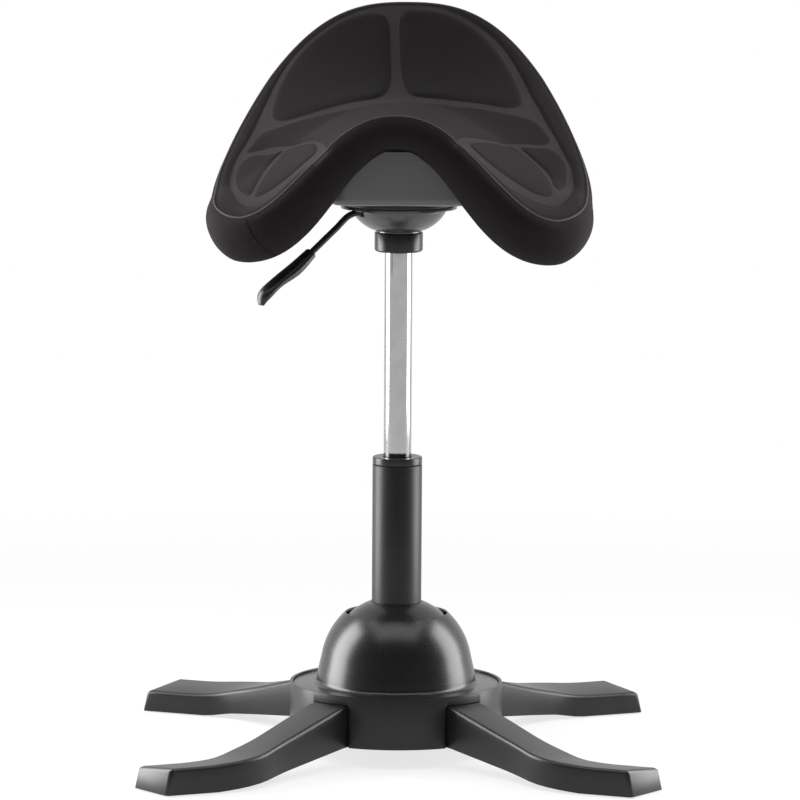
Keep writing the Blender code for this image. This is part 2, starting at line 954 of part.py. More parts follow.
def make_tube_bush():
    bore = lift_radius + running_gap
    sleeve = tube_radius - tube_wall - seat_gap
    head_bottom = tube_top - bush_head
    edge = 0.0022
    profile = [
        (bore, tube_top - bush_length),
        (sleeve, tube_top - bush_length),
        (sleeve, head_bottom),
        (tube_radius, head_bottom),
        (tube_radius, tube_top - edge),
        (tube_radius - 0.3 * edge, tube_top - 0.3 * edge),
        (tube_radius - edge, tube_top),
        (bore + 0.001, tube_top),
        (bore, tube_top - 0.001),
    ]
    return turned("tube_bush", profile, round_segments, gloss_black())


def plate_top_z():
    return tube_bottom + tube_end_plate


def lower_washer_bottom():
    return plate_top_z() + seat_gap


def upper_washer_bottom():
    return lower_washer_bottom() + washer_thickness + running_gap


def shoulder_bottom():
    return upper_washer_bottom() + washer_thickness + seat_gap


def buffer_bottom():
    return shoulder_bottom() + rod_shoulder_thickness + seat_gap


def gland_bottom():
    return lift_bottom + 0.0005


def piston_bottom():
    return gland_bottom() + gland_length + piston_clearance


def piston_top():
    return piston_bottom() + piston_length


def make_rod_parts():
    hole = rod_radius + running_gap
    bottom = lower_washer_bottom()
    ring("thrust_washer_lower", hole, washer_radius, bottom, bottom + washer_thickness, hidden_segments, pale_nylon())
    bottom = upper_washer_bottom()
    ring("thrust_washer_upper", hole, washer_radius, bottom, bottom + washer_thickness, hidden_segments, plain_steel())
    low = shoulder_bottom()
    high = low + rod_shoulder_thickness
    rod_top = piston_top() + rod_head
    profile = [
        (0.0, rod_bottom),
        (rod_radius, rod_bottom),
        (rod_radius, low),
        (rod_shoulder_radius, low),
        (rod_shoulder_radius, high),
        (rod_radius, high),
        (rod_radius, rod_top),
        (0.0, rod_top),
    ]
    turned("piston_rod", profile, hidden_segments, plain_steel())
    bottom = buffer_bottom()
    ring("bump_stop", hole, buffer_radius, bottom, bottom + buffer_thickness, hidden_segments, rubber())
    top = tube_bottom - seat_gap
    ring("rod_clip", hole, clip_radius, top - clip_thickness, top, hidden_segments, plain_steel())
    inner = lift_radius - lift_wall - seat_gap
    ring("piston", hole, inner, piston_bottom(), piston_top(), hidden_segments, pale_nylon())


def make_lift():
    inner = lift_radius - lift_wall
    hole = button_radius + running_gap
    taper_start = lift_top - lift_taper_length
    neck = lift_radius - lift_taper_drop
    end_bottom = lift_top - lift_end_thickness
    profile = [
        (inner, lift_bottom),
        (lift_radius - 0.0005, lift_bottom),
        (lift_radius, lift_bottom + 0.0005),
        (lift_radius, taper_start),
        (neck, lift_top),
        (hole, lift_top),
        (hole, end_bottom),
        (inner, end_bottom),
    ]
    turned("lift_tube", profile, round_segments, chrome())
    core = inner - seat_gap
    bottom = gland_bottom()
    rod_hole = rod_radius + running_gap
    ring("rod_gland", rod_hole, core, bottom, bottom + gland_length, hidden_segments, pale_nylon())
    valve_top = end_bottom - seat_gap
    ring("valve_body", hole, core, valve_top - valve_length, valve_top, hidden_segments, cast_metal())
    top = lever_height - lever_rod_radius - running_gap
    cylinder("release_button", button_radius, top - button_length, top, hidden_segments, plain_steel())


def lever_direction():
    return around(lever_azimuth, 1.0)


def lever_sideways():
    ahead = lever_direction()
    return Vector((-ahead.y, ahead.x, 0.0))


def bell_profile():
    """Outer wall of the bell, from its neck to the underside of its rim."""
    low = bell_bottom + collar_height
    rim = bell_rim - bell_flange_thickness
    height = rim - low - 0.0015
    points = [(bell_shoulder_radius, low), (bell_shoulder_radius, low + 0.0012)]
    start = bell_shoulder_radius + 0.0015
    for index in range(5):
        angle = math.radians(90.0) * index / 4.0
        share = math.sin(angle) ** (2.0 / bell_fullness)
        rise = 1.0 - max(math.cos(angle), 0.0) ** (2.0 / bell_fullness)
        points.append((start + (bell_radius - start) * share, low + 0.0018 + (height - 0.0003) * rise))
    return points


def set_in(points, distance):
    """An open run of (radius, height) points moved sideways, towards the axis where it climbs."""
    result = []
    for index, (radius, height) in enumerate(points):
        before = points[max(index - 1, 0)]
        after = points[min(index + 1, len(points) - 1)]
        heading = Vector((after[0] - before[0], after[1] - before[1])).normalized()
        result.append((radius - heading.y * distance, height + heading.x * distance))
    return result


def make_bell():
    outer = bell_profile()
    bore_top = lift_radius - lift_taper_drop + seat_gap
    bore_bottom = lift_radius + seat_gap
    cavity_floor = outer[2][1] + bell_wall + 0.0020
    neck_top = outer[0][1]
    inner = [point for point in reversed(set_in(outer[2:], bell_wall)) if point[1] > cavity_floor + 0.0002]
    profile = [(bore_bottom, bell_bottom), (bell_neck_radius, bell_bottom), (bell_neck_radius, neck_top)]
    profile += outer
    profile += [
        (bell_flange_radius, outer[-1][1]),
        (bell_flange_radius, bell_rim),
        (bell_radius - bell_wall, bell_rim),
    ]
    profile += inner
    profile += [(bell_shoulder_radius, cavity_floor), (bore_top, cavity_floor)]
    bell = turned("lift_bell", profile, round_segments, gloss_black())
    ahead = lever_direction()
    across = lever_sideways()
    lugs = []
    gap = lever_rod_radius + lever_lug_gap
    for side in (-1.0, 1.0):
        low = (-0.0055, gap, cavity_floor - 0.001)
        high = (0.0055, gap + lever_lug_thickness, bell_rim - 0.0008)
        if side < 0.0:
            low, high = (low[0], -high[1], low[2]), (high[0], -low[1], high[2])
        lug = moved(rotated(box("lug", low, high), lever_azimuth), ahead * lever_pivot_reach)
        middle = set_in(outer, 0.5 * bell_wall)
        core = [(0.0, middle[0][1])] + middle + [(bell_radius - bell_wall, bell_rim), (0.0, bell_rim)]
        lugs.append(combine(lug, [turned("core", core, round_segments)], "INTERSECT"))
    join(bell, *lugs)
    slot_bottom = lever_height - lever_rod_radius - lever_slot_play
    low = (0.5 * lever_pivot_reach, -0.5 * lever_slot_width, slot_bottom)
    high = (bell_flange_radius + 0.004, 0.5 * lever_slot_width, bell_rim + 0.004)
    inner_low = (bell_radius - 2.6 * bell_wall, low[1], low[2])
    slot = rotated(box("slot", inner_low, high), lever_azimuth)
    pivot = ahead * lever_pivot_reach
    pivot.z = lever_height
    reach = gap + lever_lug_thickness + 0.002
    bore = rod_between("bore", pivot - across * reach, pivot + across * reach, lever_pin_radius + seat_gap, 12)
    tools = [slot, bore]
    for place in seat_bolt_places():
        radius = seat_bolt_radius + seat_gap
        low = bell_rim - bell_flange_thickness - 0.001
        tools.append(moved(cylinder("hole", radius, low, bell_rim + 0.001, screw_segments), place))
    cut(bell, *tools)
    return cleaned(bell)


def make_collar():
    bottom = bell_bottom
    top = bottom + collar_height - seat_gap
    inner = bell_neck_radius + seat_gap
    edge = 0.0026
    profile = [
        (inner, bottom),
        (collar_radius - edge, bottom),
        (collar_radius - 0.3 * edge, bottom + 0.3 * edge),
        (collar_radius, bottom + edge),
        (collar_radius, top - 0.0008),
        (collar_radius - 0.0008, top),
        (inner, top),
    ]
    return turned("bell_collar", profile, round_segments, gloss_black())


def seat_bolt_places():
    return [around(math.radians(45.0 + 90.0 * index), seat_bolt_circle) for index in range(4)]


def pan_floor_bottom():
    return bell_rim + seat_gap + plate_thickness + seat_gap


def make_mount_plate():
    bottom = bell_rim + seat_gap
    top = bottom + plate_thickness
    edge = 0.0008
    profile = [
        (plate_hole_radius, bottom),
        (bell_flange_radius - edge, bottom),
        (bell_flange_radius, bottom + edge),
        (bell_flange_radius, top),
        (plate_hole_radius, top),
    ]
    plate = turned("mount_plate", profile, round_segments, cast_metal())
    radius = seat_bolt_radius + seat_gap
    holes = [moved(cylinder("hole", radius, bottom - 0.001, top + 0.001, screw_segments), place) for place in seat_bolt_places()]
    cut(plate, *holes)
    return cleaned(plate)


def flowing(points, per_span):
    """An open run of points with a smooth curve passed through them."""
    points = [Vector(point) for point in points]
    result = []
    for index in range(len(points) - 1):
        before = points[max(index - 1, 0)]
        start = points[index]
        stop = points[index + 1]
        after = points[min(index + 2, len(points) - 1)]
        for step in range(per_span):
            t = step / per_span
            result.append(0.5 * (
                2.0 * start
                + (stop - before) * t
                + (2.0 * before - 5.0 * start + 4.0 * stop - after) * t ** 2
                + (3.0 * start - before - 3.0 * stop + after) * t ** 3
            ))
    result.append(points[-1])
    return result


def lever_point(reach, height):
    place = lever_direction() * reach
    place.z = height
    return place


def lever_bar(name, route, sizes, segments, material):
    """A bar in the lever's upright plane; sizes are its half thickness and half width along the route."""
    across = lever_sideways()
    sections = []
    for index, (reach, height) in enumerate(route):
        before = route[max(index - 1, 0)]
        after = route[min(index + 1, len(route) - 1)]
        heading = (after - before).normalized()
        thick, wide = sizes[index]
        section = []
        for step in range(segments):
            angle = 2.0 * math.pi * step / segments
            rise = thick * math.sin(angle)
            place = lever_point(reach - heading.y * rise, height + heading.x * rise)
            section.append(place + across * (wide * math.cos(angle)))
        sections.append(section)
    return smooth(loft(name, sections, material))


def grip_start():
    return Vector((grip_reach, lever_height - grip_drop))


def rod_end_heading():
    return (grip_start() - Vector((lever_knee_reach, lever_height - lever_knee_drop))).normalized()


def make_lever():
    knee = (lever_knee_reach, lever_height - lever_knee_drop)
    bend = [
        (lever_straight_reach, lever_height),
        (lever_straight_reach + 0.0064, lever_height - 0.0018),
        (lever_straight_reach + 0.0126, lever_height - 0.0052),
        knee,
    ]
    route = [Vector((lever_tip_inset, lever_height)), Vector((lever_pivot_reach, lever_height))]
    route += flowing(bend, 2)
    route.append(grip_start() + rod_end_heading() * grip_rod_depth)
    sizes = [(lever_rod_radius, lever_rod_radius)] * len(route)
    rod = lever_bar("lever_rod", route, sizes, 10, black_steel())
    across = lever_sideways()
    pivot = lever_point(lever_pivot_reach, lever_height)
    reach = 2.0 * lever_rod_radius
    hole_radius = lever_pin_radius + seat_gap
    hole = rod_between("hole", pivot - across * reach, pivot + across * reach, hole_radius, 12)
    cut(rod, hole)
    cleaned(rod)
    half = 0.5 * lever_pin_length
    rod_between("lever_pin", pivot - across * half, pivot + across * half, lever_pin_radius, 12, plain_steel())
    start = grip_start()
    bends = ((0.0, 0.0), (0.315, 0.302), (0.678, 0.556), (0.929, 0.797), (1.0, 1.0))
    path = [start + Vector((run * grip_run, -fall * grip_fall)) for run, fall in bends]
    swells = ((0.79, 0.74), (1.0, 0.93), (0.80, 1.0), (0.83, 0.97), (0.31, 0.45))
    girth = [Vector((thick * grip_half_thickness, wide * grip_half_width)) for thick, wide in swells]
    girth = [tuple(pair) for pair in flowing(girth, 3)]
    grip = lever_bar("lever_grip", flowing(path, 3), girth, 10, black_nylon())
    heading = rod_end_heading()
    mouth = start - heading * 0.004
    depth = start + heading * (grip_rod_depth + seat_gap)
    socket = rod_between("socket", lever_point(*mouth), lever_point(*depth), lever_rod_radius + seat_gap, 12)
    cut(grip, socket)
    cleaned(grip)


def arch_fall(x, y):
    """How far down the flap a point of the plan lies, from 0 on the centre line to 1 at its end."""
    power = arch_power + arch_rear_power * max(0.0, y)
    share = min(abs(x) / (arch_width + arch_flare * y), 1.0) ** power
    return share * share * (3.0 - 2.0 * share)


def saddle_height():
    return pan_floor_bottom() + saddle_rise


def seat_half_length():
    return 0.5 * (seat_length_front + seat_length_rear)


def seat_centre_y():
    return 0.5 * (seat_length_rear - seat_length_front)


def saddle(x, y):
    """Height of the cushion's sewn surface over a point of the plan."""
    rise = max(0.0, (y + cantle_start) / cantle_run) ** cantle_power
    drop = arch_drop + arch_front_drop * max(0.0, -y) ** 2
    return saddle_height() + cantle_rise * rise - drop * arch_fall(x, y)


def saddle_normal(x, y):
    step = 0.0005
    slope_x = (saddle(x + step, y) - saddle(x - step, y)) / (2.0 * step)
    slope_y = (saddle(x, y + step) - saddle(x, y - step)) / (2.0 * step)
    return Vector((-slope_x, -slope_y, 1.0)).normalized()


def under_saddle(x, y, depth):
    """The point at a depth square below the saddle surface, deeper where the flaps are thicker."""
    padding = flap_padding * arch_fall(x, y) * min(depth / foam_thickness, 1.0)
    return Vector((x, y, saddle(x, y))) - saddle_normal(x, y) * (depth + padding)


def straight_under(x, y, depth):
    """The point of the surface at that depth that lies at a plan position, and its normal."""
    plan = Vector((x, y))
    for step in range(6):
        point = under_saddle(plan.x, plan.y, depth)
        plan += Vector((x - point.x, y - point.y))
    return under_saddle(plan.x, plan.y, depth), saddle_normal(plan.x, plan.y)


def evenly(points, count):
    """An open run of points spaced out again into equal lengths."""
    lengths = [0.0]
    for before, after in zip(points, points[1:]):
        lengths.append(lengths[-1] + (after - before).length)
    result = []
    place = 0
    for index in range(count + 1):
        target = lengths[-1] * index / count
        while place < len(points) - 2 and lengths[place + 1] < target:
            place += 1
        share = (target - lengths[place]) / (lengths[place + 1] - lengths[place])
        result.append(points[place].lerp(points[place + 1], min(max(share, 0.0), 1.0)))
    return result


def mirrored_loop(half):
    """A closed loop from its right-hand half, whose ends lie on the centre line."""
    return half + [Vector((-point.x, point.y)) for point in reversed(half[1:-1])]


def seat_outline():
    half_length = seat_half_length()
    dense = []
    steps = 240
    for index in range(steps + 1):
        angle = math.pi * (index / steps - 0.5)
        power = 2.0 / (front_fullness if angle < 0.0 else rear_fullness)
        across = seat_half_width * max(math.cos(angle), 0.0) ** power
        along = half_length * abs(math.sin(angle)) ** power
        dense.append(Vector((across, seat_centre_y() + math.copysign(along, angle))))
    return mirrored_loop(evenly(dense, outline_points // 2))


def shifted(loop, distance):
    """A closed plan loop moved outwards, or inwards by a negative distance."""
    result = []
    for index, point in enumerate(loop):
        tangent = (loop[(index + 1) % len(loop)] - loop[index - 1]).normalized()
        result.append(point + Vector((tangent.y, -tangent.x)) * distance)
    return result


def rounded(corners, radius):
    """A closed loop with each corner replaced by a short curve."""
    result = []
    for index, corner in enumerate(corners):
        before = corners[index - 1] - corner
        after = corners[(index + 1) % len(corners)] - corner
        first = corner + before.normalized() * min(radius, 0.4 * before.length)
        last = corner + after.normalized() * min(radius, 0.4 * after.length)
        result += [first, 0.25 * first + 0.5 * corner + 0.25 * last, last]
    return result


def seat_place(share_x, share_y):
    """A plan point given as shares of the seat's half width and half length."""
    return Vector((share_x * seat_half_width, seat_centre_y() + share_y * seat_half_length()))


def both_sides(corners):
    """A panel and its mirror image."""
    loop = [seat_place(*corner) for corner in corners]
    other = [Vector((-point.x, point.y)) for point in reversed(loop)]
    return [loop, other]


def across_centre(corners):
    """A panel that crosses the centre line, from its right-hand corners."""
    loop = [seat_place(*corner) for corner in corners]
    return loop + [Vector((-point.x, point.y)) for point in reversed(loop)]


def panel_loops():
    """Sewn panels: each an outline on the stitch line and how far its padding is set in."""
    rear_pad = ((0.065, 0.03), (0.355, 0.17), (0.69, 0.42), (0.60, 0.61), (0.39, 0.78), (0.065, 0.83))
    outer_wing = ((0.63, -0.02), (0.82, -0.31), (0.86, -0.14), (0.86, 0.05), (0.81, 0.22))
    inner_wing = ((0.36, -0.80), (0.62, -0.75), (0.76, -0.59), (0.80, -0.37), (0.585, -0.09))
    middle = ((0.27, -0.82), (0.55, -0.07), (0.80, 0.28), (0.75, 0.375), (0.355, 0.11), (0.075, -0.04))
    rib = ((0.030, 0.02), (0.030, 0.82))
    panels = []
    for corners in (rear_pad, outer_wing, inner_wing):
        for loop in both_sides(corners):
            panels.append((rounded(loop, panel_corner), panel_inset))
    panels.append((rounded(across_centre(middle), panel_corner), panel_inset))
    panels.append((rounded(across_centre(rib), rib_inset), rib_inset))
    return panels


def inside(point, loop):
    """Whether a plan point lies in a closed loop."""
    crossings = 0
    for first, last in zip(loop, loop[1:] + loop[:1]):
        if (first.y > point.y) != (last.y > point.y):
            share = (point.y - first.y) / (last.y - first.y)
            if point.x < first.x + share * (last.x - first.x):
                crossings += 1
    return crossings % 2 == 1


def fill_points(loop, spacing):
    """A grid of points inside a loop that keeps clear of its edge."""
    kept = []
    low_x = min(point.x for point in loop)
    high_x = max(point.x for point in loop)
    low_y = min(point.y for point in loop)
    high_y = max(point.y for point in loop)
    columns = max(1, round((high_x - low_x) / spacing))
    rows = max(1, round((high_y - low_y) / spacing))
    for column in range(columns + 1):
        for row in range(rows + 1):
            spot = Vector((
                low_x + (high_x - low_x) * (column + 0.5) / (columns + 1),
                low_y + (high_y - low_y) * (row + 0.5) / (rows + 1),
            ))
            nearest = min((spot - point).length for point in loop)
            if inside(spot, loop) and nearest > 0.35 * spacing:
                kept.append(spot)
    return kept


def under_rings():
    """Shares of the outline at which the underside, the board and the cutter have their rings."""
    return [0.2, 0.4, 0.6, 0.8, board_scale]


def scaled_outline(share):
    centre = Vector((0.0, seat_centre_y()))
    return [centre + (point - centre) * share for point in seat_outline()]


def add_underside(bm, shares, depth):
    """Rings of a surface parallel to the saddle, from the outermost ring to the centre."""
    rows = []
    for share in sorted(shares, reverse=True):
        rows.append([bm.verts.new(under_saddle(point.x, point.y, depth)) for point in scaled_outline(share)])
    skin(bm, rows)
    hub = bm.verts.new(under_saddle(0.0, seat_centre_y(), depth))
    inner = rows[-1]
    for index in range(len(inner)):
        bm.faces.new((inner[index], inner[(index + 1) % len(inner)], hub))
    return rows[0]


def skin(bm, rows):
    """Triangles between rings, split the same way in every surface so that they lie parallel."""
    for row, following in zip(rows, rows[1:]):
        for index in range(len(row)):
            after = (index + 1) % len(row)
            bm.faces.new((row[index], row[after], following[after]))
            bm.faces.new((row[index], following[after], following[index]))


def side_swell(share):
    """How far the cushion's side stands outside the seam, at a share of the way down it."""
    return cushion_bulge * math.sin(math.pi * share ** 0.65) ** 0.8 - cushion_draw * share ** 3


def make_cushion():
    """The upholstered foam, with the covering drawn round the board's edge and under it."""
    outline = seat_outline()
    loops = [
        (outline, 0.0),
        (shifted(outline, -0.5 * band_inset), border_crown),
        (shifted(outline, -band_inset), -channel_depth),
        (shifted(outline, -band_inset - band_width), -channel_depth),
    ]
    spots = []
    for loop, inset in panel_loops():
        loops.append((loop, -channel_depth))
        padding = shifted(loop, -inset)
        crown = pad_crown * min(1.0, inset / panel_inset + 0.2)
        loops.append((padding, crown))
        if inset == panel_inset:
            spots += [(spot, crown + 0.0008) for spot in fill_points(padding, 0.030)]
    points = []
    raises = []
    edges = []
    for loop, height in loops:
        start = len(points)
        points += loop
        raises += [height] * len(loop)
        edges += [(start + index, start + (index + 1) % len(loop)) for index in range(len(loop))]
    for spot, height in spots:
        points.append(spot)
        raises.append(height)
    result = delaunay_2d_cdt(points, edges, [], 1, 0.00001, True)
    flat, faces, sources = result[0], result[2], result[3]

    def build(bm):
        top = []
        seam = {}
        for place, source in zip(flat, sources):
            height = raises[source[0]] if source else 0.0
            lift = saddle_normal(place.x, place.y) * height
            top.append(bm.verts.new(Vector((place.x, place.y, saddle(place.x, place.y))) + lift))
            for original in source:
                seam[original] = top[-1]
        for face in faces:
            bm.faces.new([top[index] for index in face])
        rows = [[seam[index] for index in range(len(outline))]]
        outward = [far - near for far, near in zip(shifted(outline, 1.0), outline)]
        for share in (0.10, 0.30, 0.55, 0.80, 0.95):
            row = []
            for point, direction in zip(outline, outward):
                place = under_saddle(point.x, point.y, share * board_bottom_depth())
                row.append(bm.verts.new(place + Vector((direction.x, direction.y, 0.0)) * side_swell(share)))
            rows.append(row)
        for share in (1.0 - cushion_tuck, board_pocket_scale):
            margin = [under_saddle(point.x, point.y, board_bottom_depth()) for point in scaled_outline(share)]
            rows.append([bm.verts.new(place) for place in margin])
        rows.append(add_underside(bm, under_rings()[:-1] + [board_pocket_scale], foam_thickness))
        skin(bm, rows)

    return smooth(new_object("seat_cushion", mesh_from("seat_cushion", build), black_fabric()), 40.0)


def board_top_depth():
    return foam_thickness + seat_gap


def board_bottom_depth():
    return board_top_depth() + board_thickness


def make_board():
    def build(bm):
        upper = add_underside(bm, under_rings(), board_top_depth())
        lower = add_underside(bm, under_rings(), board_bottom_depth())
        skin(bm, [upper, lower])

    board = smooth(new_object("seat_board", mesh_from("seat_board", build), plywood()))
    holes = []
    for place, normal in board_screw_places():
        tip = place + normal * (board_thickness + seat_gap - 0.0015)
        holes.append(rod_between("hole", place - normal * 0.004, tip, board_screw_radius + seat_gap, screw_segments))
    cut(board, *holes)
    return cleaned(board)


def saddle_cutter():
    """Everything above a surface just under the board."""

    def build(bm):
        shares = under_rings() + [1.0, 1.1]
        edge = add_underside(bm, shares, board_bottom_depth() + seat_gap)
        ceiling = saddle_height() + cantle_rise + 0.1
        top = [bm.verts.new((vert.co.x, vert.co.y, ceiling)) for vert in edge]
        skin(bm, [edge, top])
        bm.faces.new(top)

    return new_object("cutter", mesh_from("cutter", build))


def web_y():
    return bracket_half_length - bracket_web_setback


def board_screw_places():
    """Points on the board's underside over the bracket's tabs, with the surface's normal there."""
    places = []
    for side_y in (-1.0, 1.0):
        for side_x in (-1.0, 1.0):
            x = side_x * board_screw_spread
            y = side_y * web_y() - tab_reach * 0.55
            places.append(straight_under(x, y, board_bottom_depth()))
    return places


def rounded_rectangle(half_width, front, rear, radius, steps=3):
    """Plan outline symmetric about the Y axis, from its front right corner anticlockwise."""
    corners = (
        (half_width - radius, front + radius, -90.0),
        (half_width - radius, rear - radius, 0.0),
        (radius - half_width, rear - radius, 90.0),
        (radius - half_width, front + radius, 180.0),
    )
    outline = []
    for x, y, start in corners:
        for index in range(steps + 1):
            angle = math.radians(start + 90.0 * index / steps)
            outline.append((x + radius * math.cos(angle), y + radius * math.sin(angle)))
    return outline


def pan_solid(name, inset, bottom):
    """The pan's shape without its hollow, set in by the given wall."""
    round_radius = pan_edge_round - inset
    top = saddle_height() + cantle_rise
    sections = []

    def section(shrink, height):
        size = inset + shrink
        outline = rounded_rectangle(
            pan_half_width - size, size - pan_front, pan_rear - size, pan_corner - size,
        )
        sections.append([(x, y, height) for x, y in outline])

    for index in range(4):
        angle = math.radians(30.0 * index)
        section(round_radius * (1.0 - math.sin(angle)), bottom + round_radius * (1.0 - math.cos(angle)))
    section(-pan_draft, top)
    return loft(name, sections, grey_plastic())


def make_pan():
    bottom = pan_floor_bottom()
    pan = pan_solid("seat_pan", 0.0, bottom)
    tools = [pan_solid("hollow", pan_wall, bottom + pan_wall), saddle_cutter()]
    for place in seat_bolt_places():
        radius = seat_bolt_radius + seat_gap
        tools.append(moved(cylinder("hole", radius, bottom - 0.001, bottom + pan_wall + 0.001, screw_segments), place))
    cut(pan, *tools)
    return cleaned(pan)


def bracket_bottom():
    return pan_floor_bottom() + pan_wall + seat_gap


def make_bracket():
    bottom = bracket_bottom()
    top = bottom + bracket_thickness
    half_x = bracket_half_width
    half_y = bracket_half_length
    outline = rounded_rectangle(half_x, -half_y, half_y, 0.008, 2)
    bracket = prism("seat_bracket", outline, bottom, top, black_steel())
    additions = []
    ceiling = saddle_height()
    for side in (-1.0, 1.0):
        near = side * web_y() - 0.5 * bracket_thickness
        far = near + bracket_thickness
        additions.append(box("web", (-half_x, near, top - 0.001), (half_x, far, ceiling)))
        additions.append(tab_solid(near + 0.001))
    join(bracket, *additions)
    tools = [saddle_cutter()]
    for place in seat_bolt_places():
        radius = seat_bolt_radius + seat_gap
        tools.append(moved(cylinder("hole", radius, bottom - 0.001, top + 0.001, screw_segments), place))
    for place, normal in board_screw_places():
        low = place - normal * 0.012
        tools.append(rod_between("hole", low, place + normal * 0.004, board_screw_radius + seat_gap, screw_segments))
    cut(bracket, *tools)
    return cleaned(bracket)


def tab_solid(edge_y):
    """A tab reaching forward from a web, parallel to the board above it."""
    columns = 4

    def build(bm):
        rows = []
        for depth in (board_bottom_depth() - 0.004, board_bottom_depth() + seat_gap + tab_thickness):
            for y in (edge_y, edge_y - tab_reach):
                row = []
                for column in range(columns + 1):
                    x = tab_half_width * (2.0 * column / columns - 1.0)
                    row.append(bm.verts.new(straight_under(x, y, depth)[0]))
                rows.append(row)
        upper_near, upper_far, lower_near, lower_far = rows
        for first, second in (
            (upper_near, upper_far), (lower_near, lower_far),
            (upper_near, lower_near), (upper_far, lower_far),
        ):
            for column in range(columns):
                bm.faces.new((first[column], first[column + 1], second[column + 1], second[column]))
        for column in (0, columns):
            bm.faces.new((upper_near[column], upper_far[column], lower_far[column], lower_near[column]))

    return new_object("tab", mesh_from("tab", build))


def make_seat_screws():
    seat = bracket_bottom() + bracket_thickness + seat_gap
    tip = bell_rim - 0.0020
    bolt = headed_screw(seat_bolt_radius, seat_bolt_head_radius, seat, tip, seat + seat_bolt_head_height)
    labels = ("rear_right", "rear_left", "front_left", "front_right")
    repeated("seat_bolt", bolt, labels, seat_bolt_places())
    under_tab = -(2.0 * seat_gap + tab_thickness + board_screw_play)
    head_end = under_tab - board_screw_head_height
    tip = board_thickness - 0.0015
    for label, (place, normal) in zip(labels[2:] + labels[1::-1], board_screw_places()):
        screw = headed_screw(board_screw_radius, board_screw_head_radius, under_tab, tip, head_end)
        screw.name = "board_screw_" + label
        turn = Vector((0.0, 0.0, 1.0)).rotation_difference(normal)
        screw.data.transform(turn.to_matrix().to_4x4())
        screw.location = place


def hang(names, origin):
    """Put the origins of a moving group's parts on its joint."""
    for name in names:
        part = bpy.data.objects[name]
        moved(part, -origin)
        part.location = origin


clear_scene()
make_hub()
make_legs()
make_glides()
make_leg_bolts()
make_dome()
make_dome_screws()
make_housing()
make_lug_screws()
make_centring_ring()
make_gimbal()
make_sleeve()
make_cap()
make_column_tube()
make_tube_bush()
make_rod_parts()
make_lift()
make_bell()
make_collar()
make_mount_plate()
make_lever()
make_cushion()
make_board()
make_pan()
make_bracket()
make_seat_screws()
tilt_centre = Vector((0.0, 0.0, tilt_height))
hang(("gimbal_ring", "sleeve_pin_front", "sleeve_pin_rear"), tilt_centre)
hang(("column_sleeve", "column_cap", "outer_tube", "tube_bush"), tilt_centre)
hang(("lever_rod", "lever_grip"), lever_point(lever_pivot_reach, lever_height))
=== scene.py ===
import math

import bmesh
import bpy
import numpy as np
from mathutils import Matrix, Vector
from mathutils.bvhtree import BVHTree


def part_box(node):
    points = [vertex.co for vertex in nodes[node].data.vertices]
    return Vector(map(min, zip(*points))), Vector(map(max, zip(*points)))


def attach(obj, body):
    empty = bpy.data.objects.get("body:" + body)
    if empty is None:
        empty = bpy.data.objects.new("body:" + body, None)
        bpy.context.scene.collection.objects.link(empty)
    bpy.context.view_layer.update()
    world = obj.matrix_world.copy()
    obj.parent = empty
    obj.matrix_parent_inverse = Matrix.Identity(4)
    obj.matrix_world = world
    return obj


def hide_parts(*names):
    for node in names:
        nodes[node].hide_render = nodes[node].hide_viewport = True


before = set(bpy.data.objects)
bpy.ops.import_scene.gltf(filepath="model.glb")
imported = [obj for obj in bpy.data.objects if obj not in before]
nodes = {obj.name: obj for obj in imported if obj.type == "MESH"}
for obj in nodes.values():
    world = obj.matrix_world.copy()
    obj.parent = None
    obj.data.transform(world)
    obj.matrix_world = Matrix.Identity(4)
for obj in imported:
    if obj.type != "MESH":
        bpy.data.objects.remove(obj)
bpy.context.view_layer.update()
bpy.context.scene.view_settings.view_transform = "Standard"
print("frame loaded:", len(nodes), "nodes")


def addObject(name, data):
    piece = bpy.data.objects.new(name, data)
    bpy.context.scene.collection.objects.link(piece)
    return piece


viewer = {
    "distance": 7.2,
    "height": 1.356,
    "pitch": 7.89,       # degrees down
    "heading": 0.9,      # degrees, seen slightly from the left
    "roll": 0.36,
    "sideways": 0.00225,
    "lens": 325.2,
    "sensor": 36.0,
    "farthest": 60.0,
}


def placeCamera():
    turn = math.radians(viewer["heading"])
    right = Vector((math.cos(turn), -math.sin(turn), 0.0))
    place = Vector((-math.sin(turn), -math.cos(turn), 0.0)) * viewer["distance"]
    place += right * viewer["sideways"]
    place.z = viewer["height"]
    look = (
        Matrix.Rotation(-turn, 4, "Z")
        @ Matrix.Rotation(math.radians(90.0 - viewer["pitch"]), 4, "X")
        @ Matrix.Rotation(math.radians(viewer["roll"]), 4, "Z")
    )
    data = bpy.data.cameras.new("photoView")
    data.lens = viewer["lens"]
    data.sensor_width = viewer["sensor"]
    data.clip_end = viewer["farthest"]
    camera = addObject("photoView", data)
    camera.matrix_world = Matrix.Translation(place) @ look
    bpy.context.scene.camera = camera


placeCamera()


studio = {
    "sideReach": 1.0,
    "sideBack": 0.14,
    "sideSize": (0.62, 1.1),
    "sideHeight": 0.50,
    "sideAim": (0.0, 0.0, 0.35),
    "leftWatts": 23.0,
    "rightWatts": 17.0,
    "topPlace": (0.0, -0.75, 2.3),
    "topAim": (0.0, -0.75, 0.4),
    "topSize": (2.8, 1.9),
    "topWatts": 38.0,
    "room": 0.40,
    "mirroredFront": 0.12,
    "floorShade": 0.80,
    "floorGlow": 0.75,
}


def softbox(name, place, aim, size, watts):
    data = bpy.data.lights.new(name, "AREA")
    data.shape = "RECTANGLE"
    data.size, data.size_y = size
    data.energy = watts
    lamp = addObject(name, data)
    lamp.location = place
    lamp.rotation_euler = (Vector(aim) - Vector(place)).to_track_quat("-Z", "Y").to_euler()


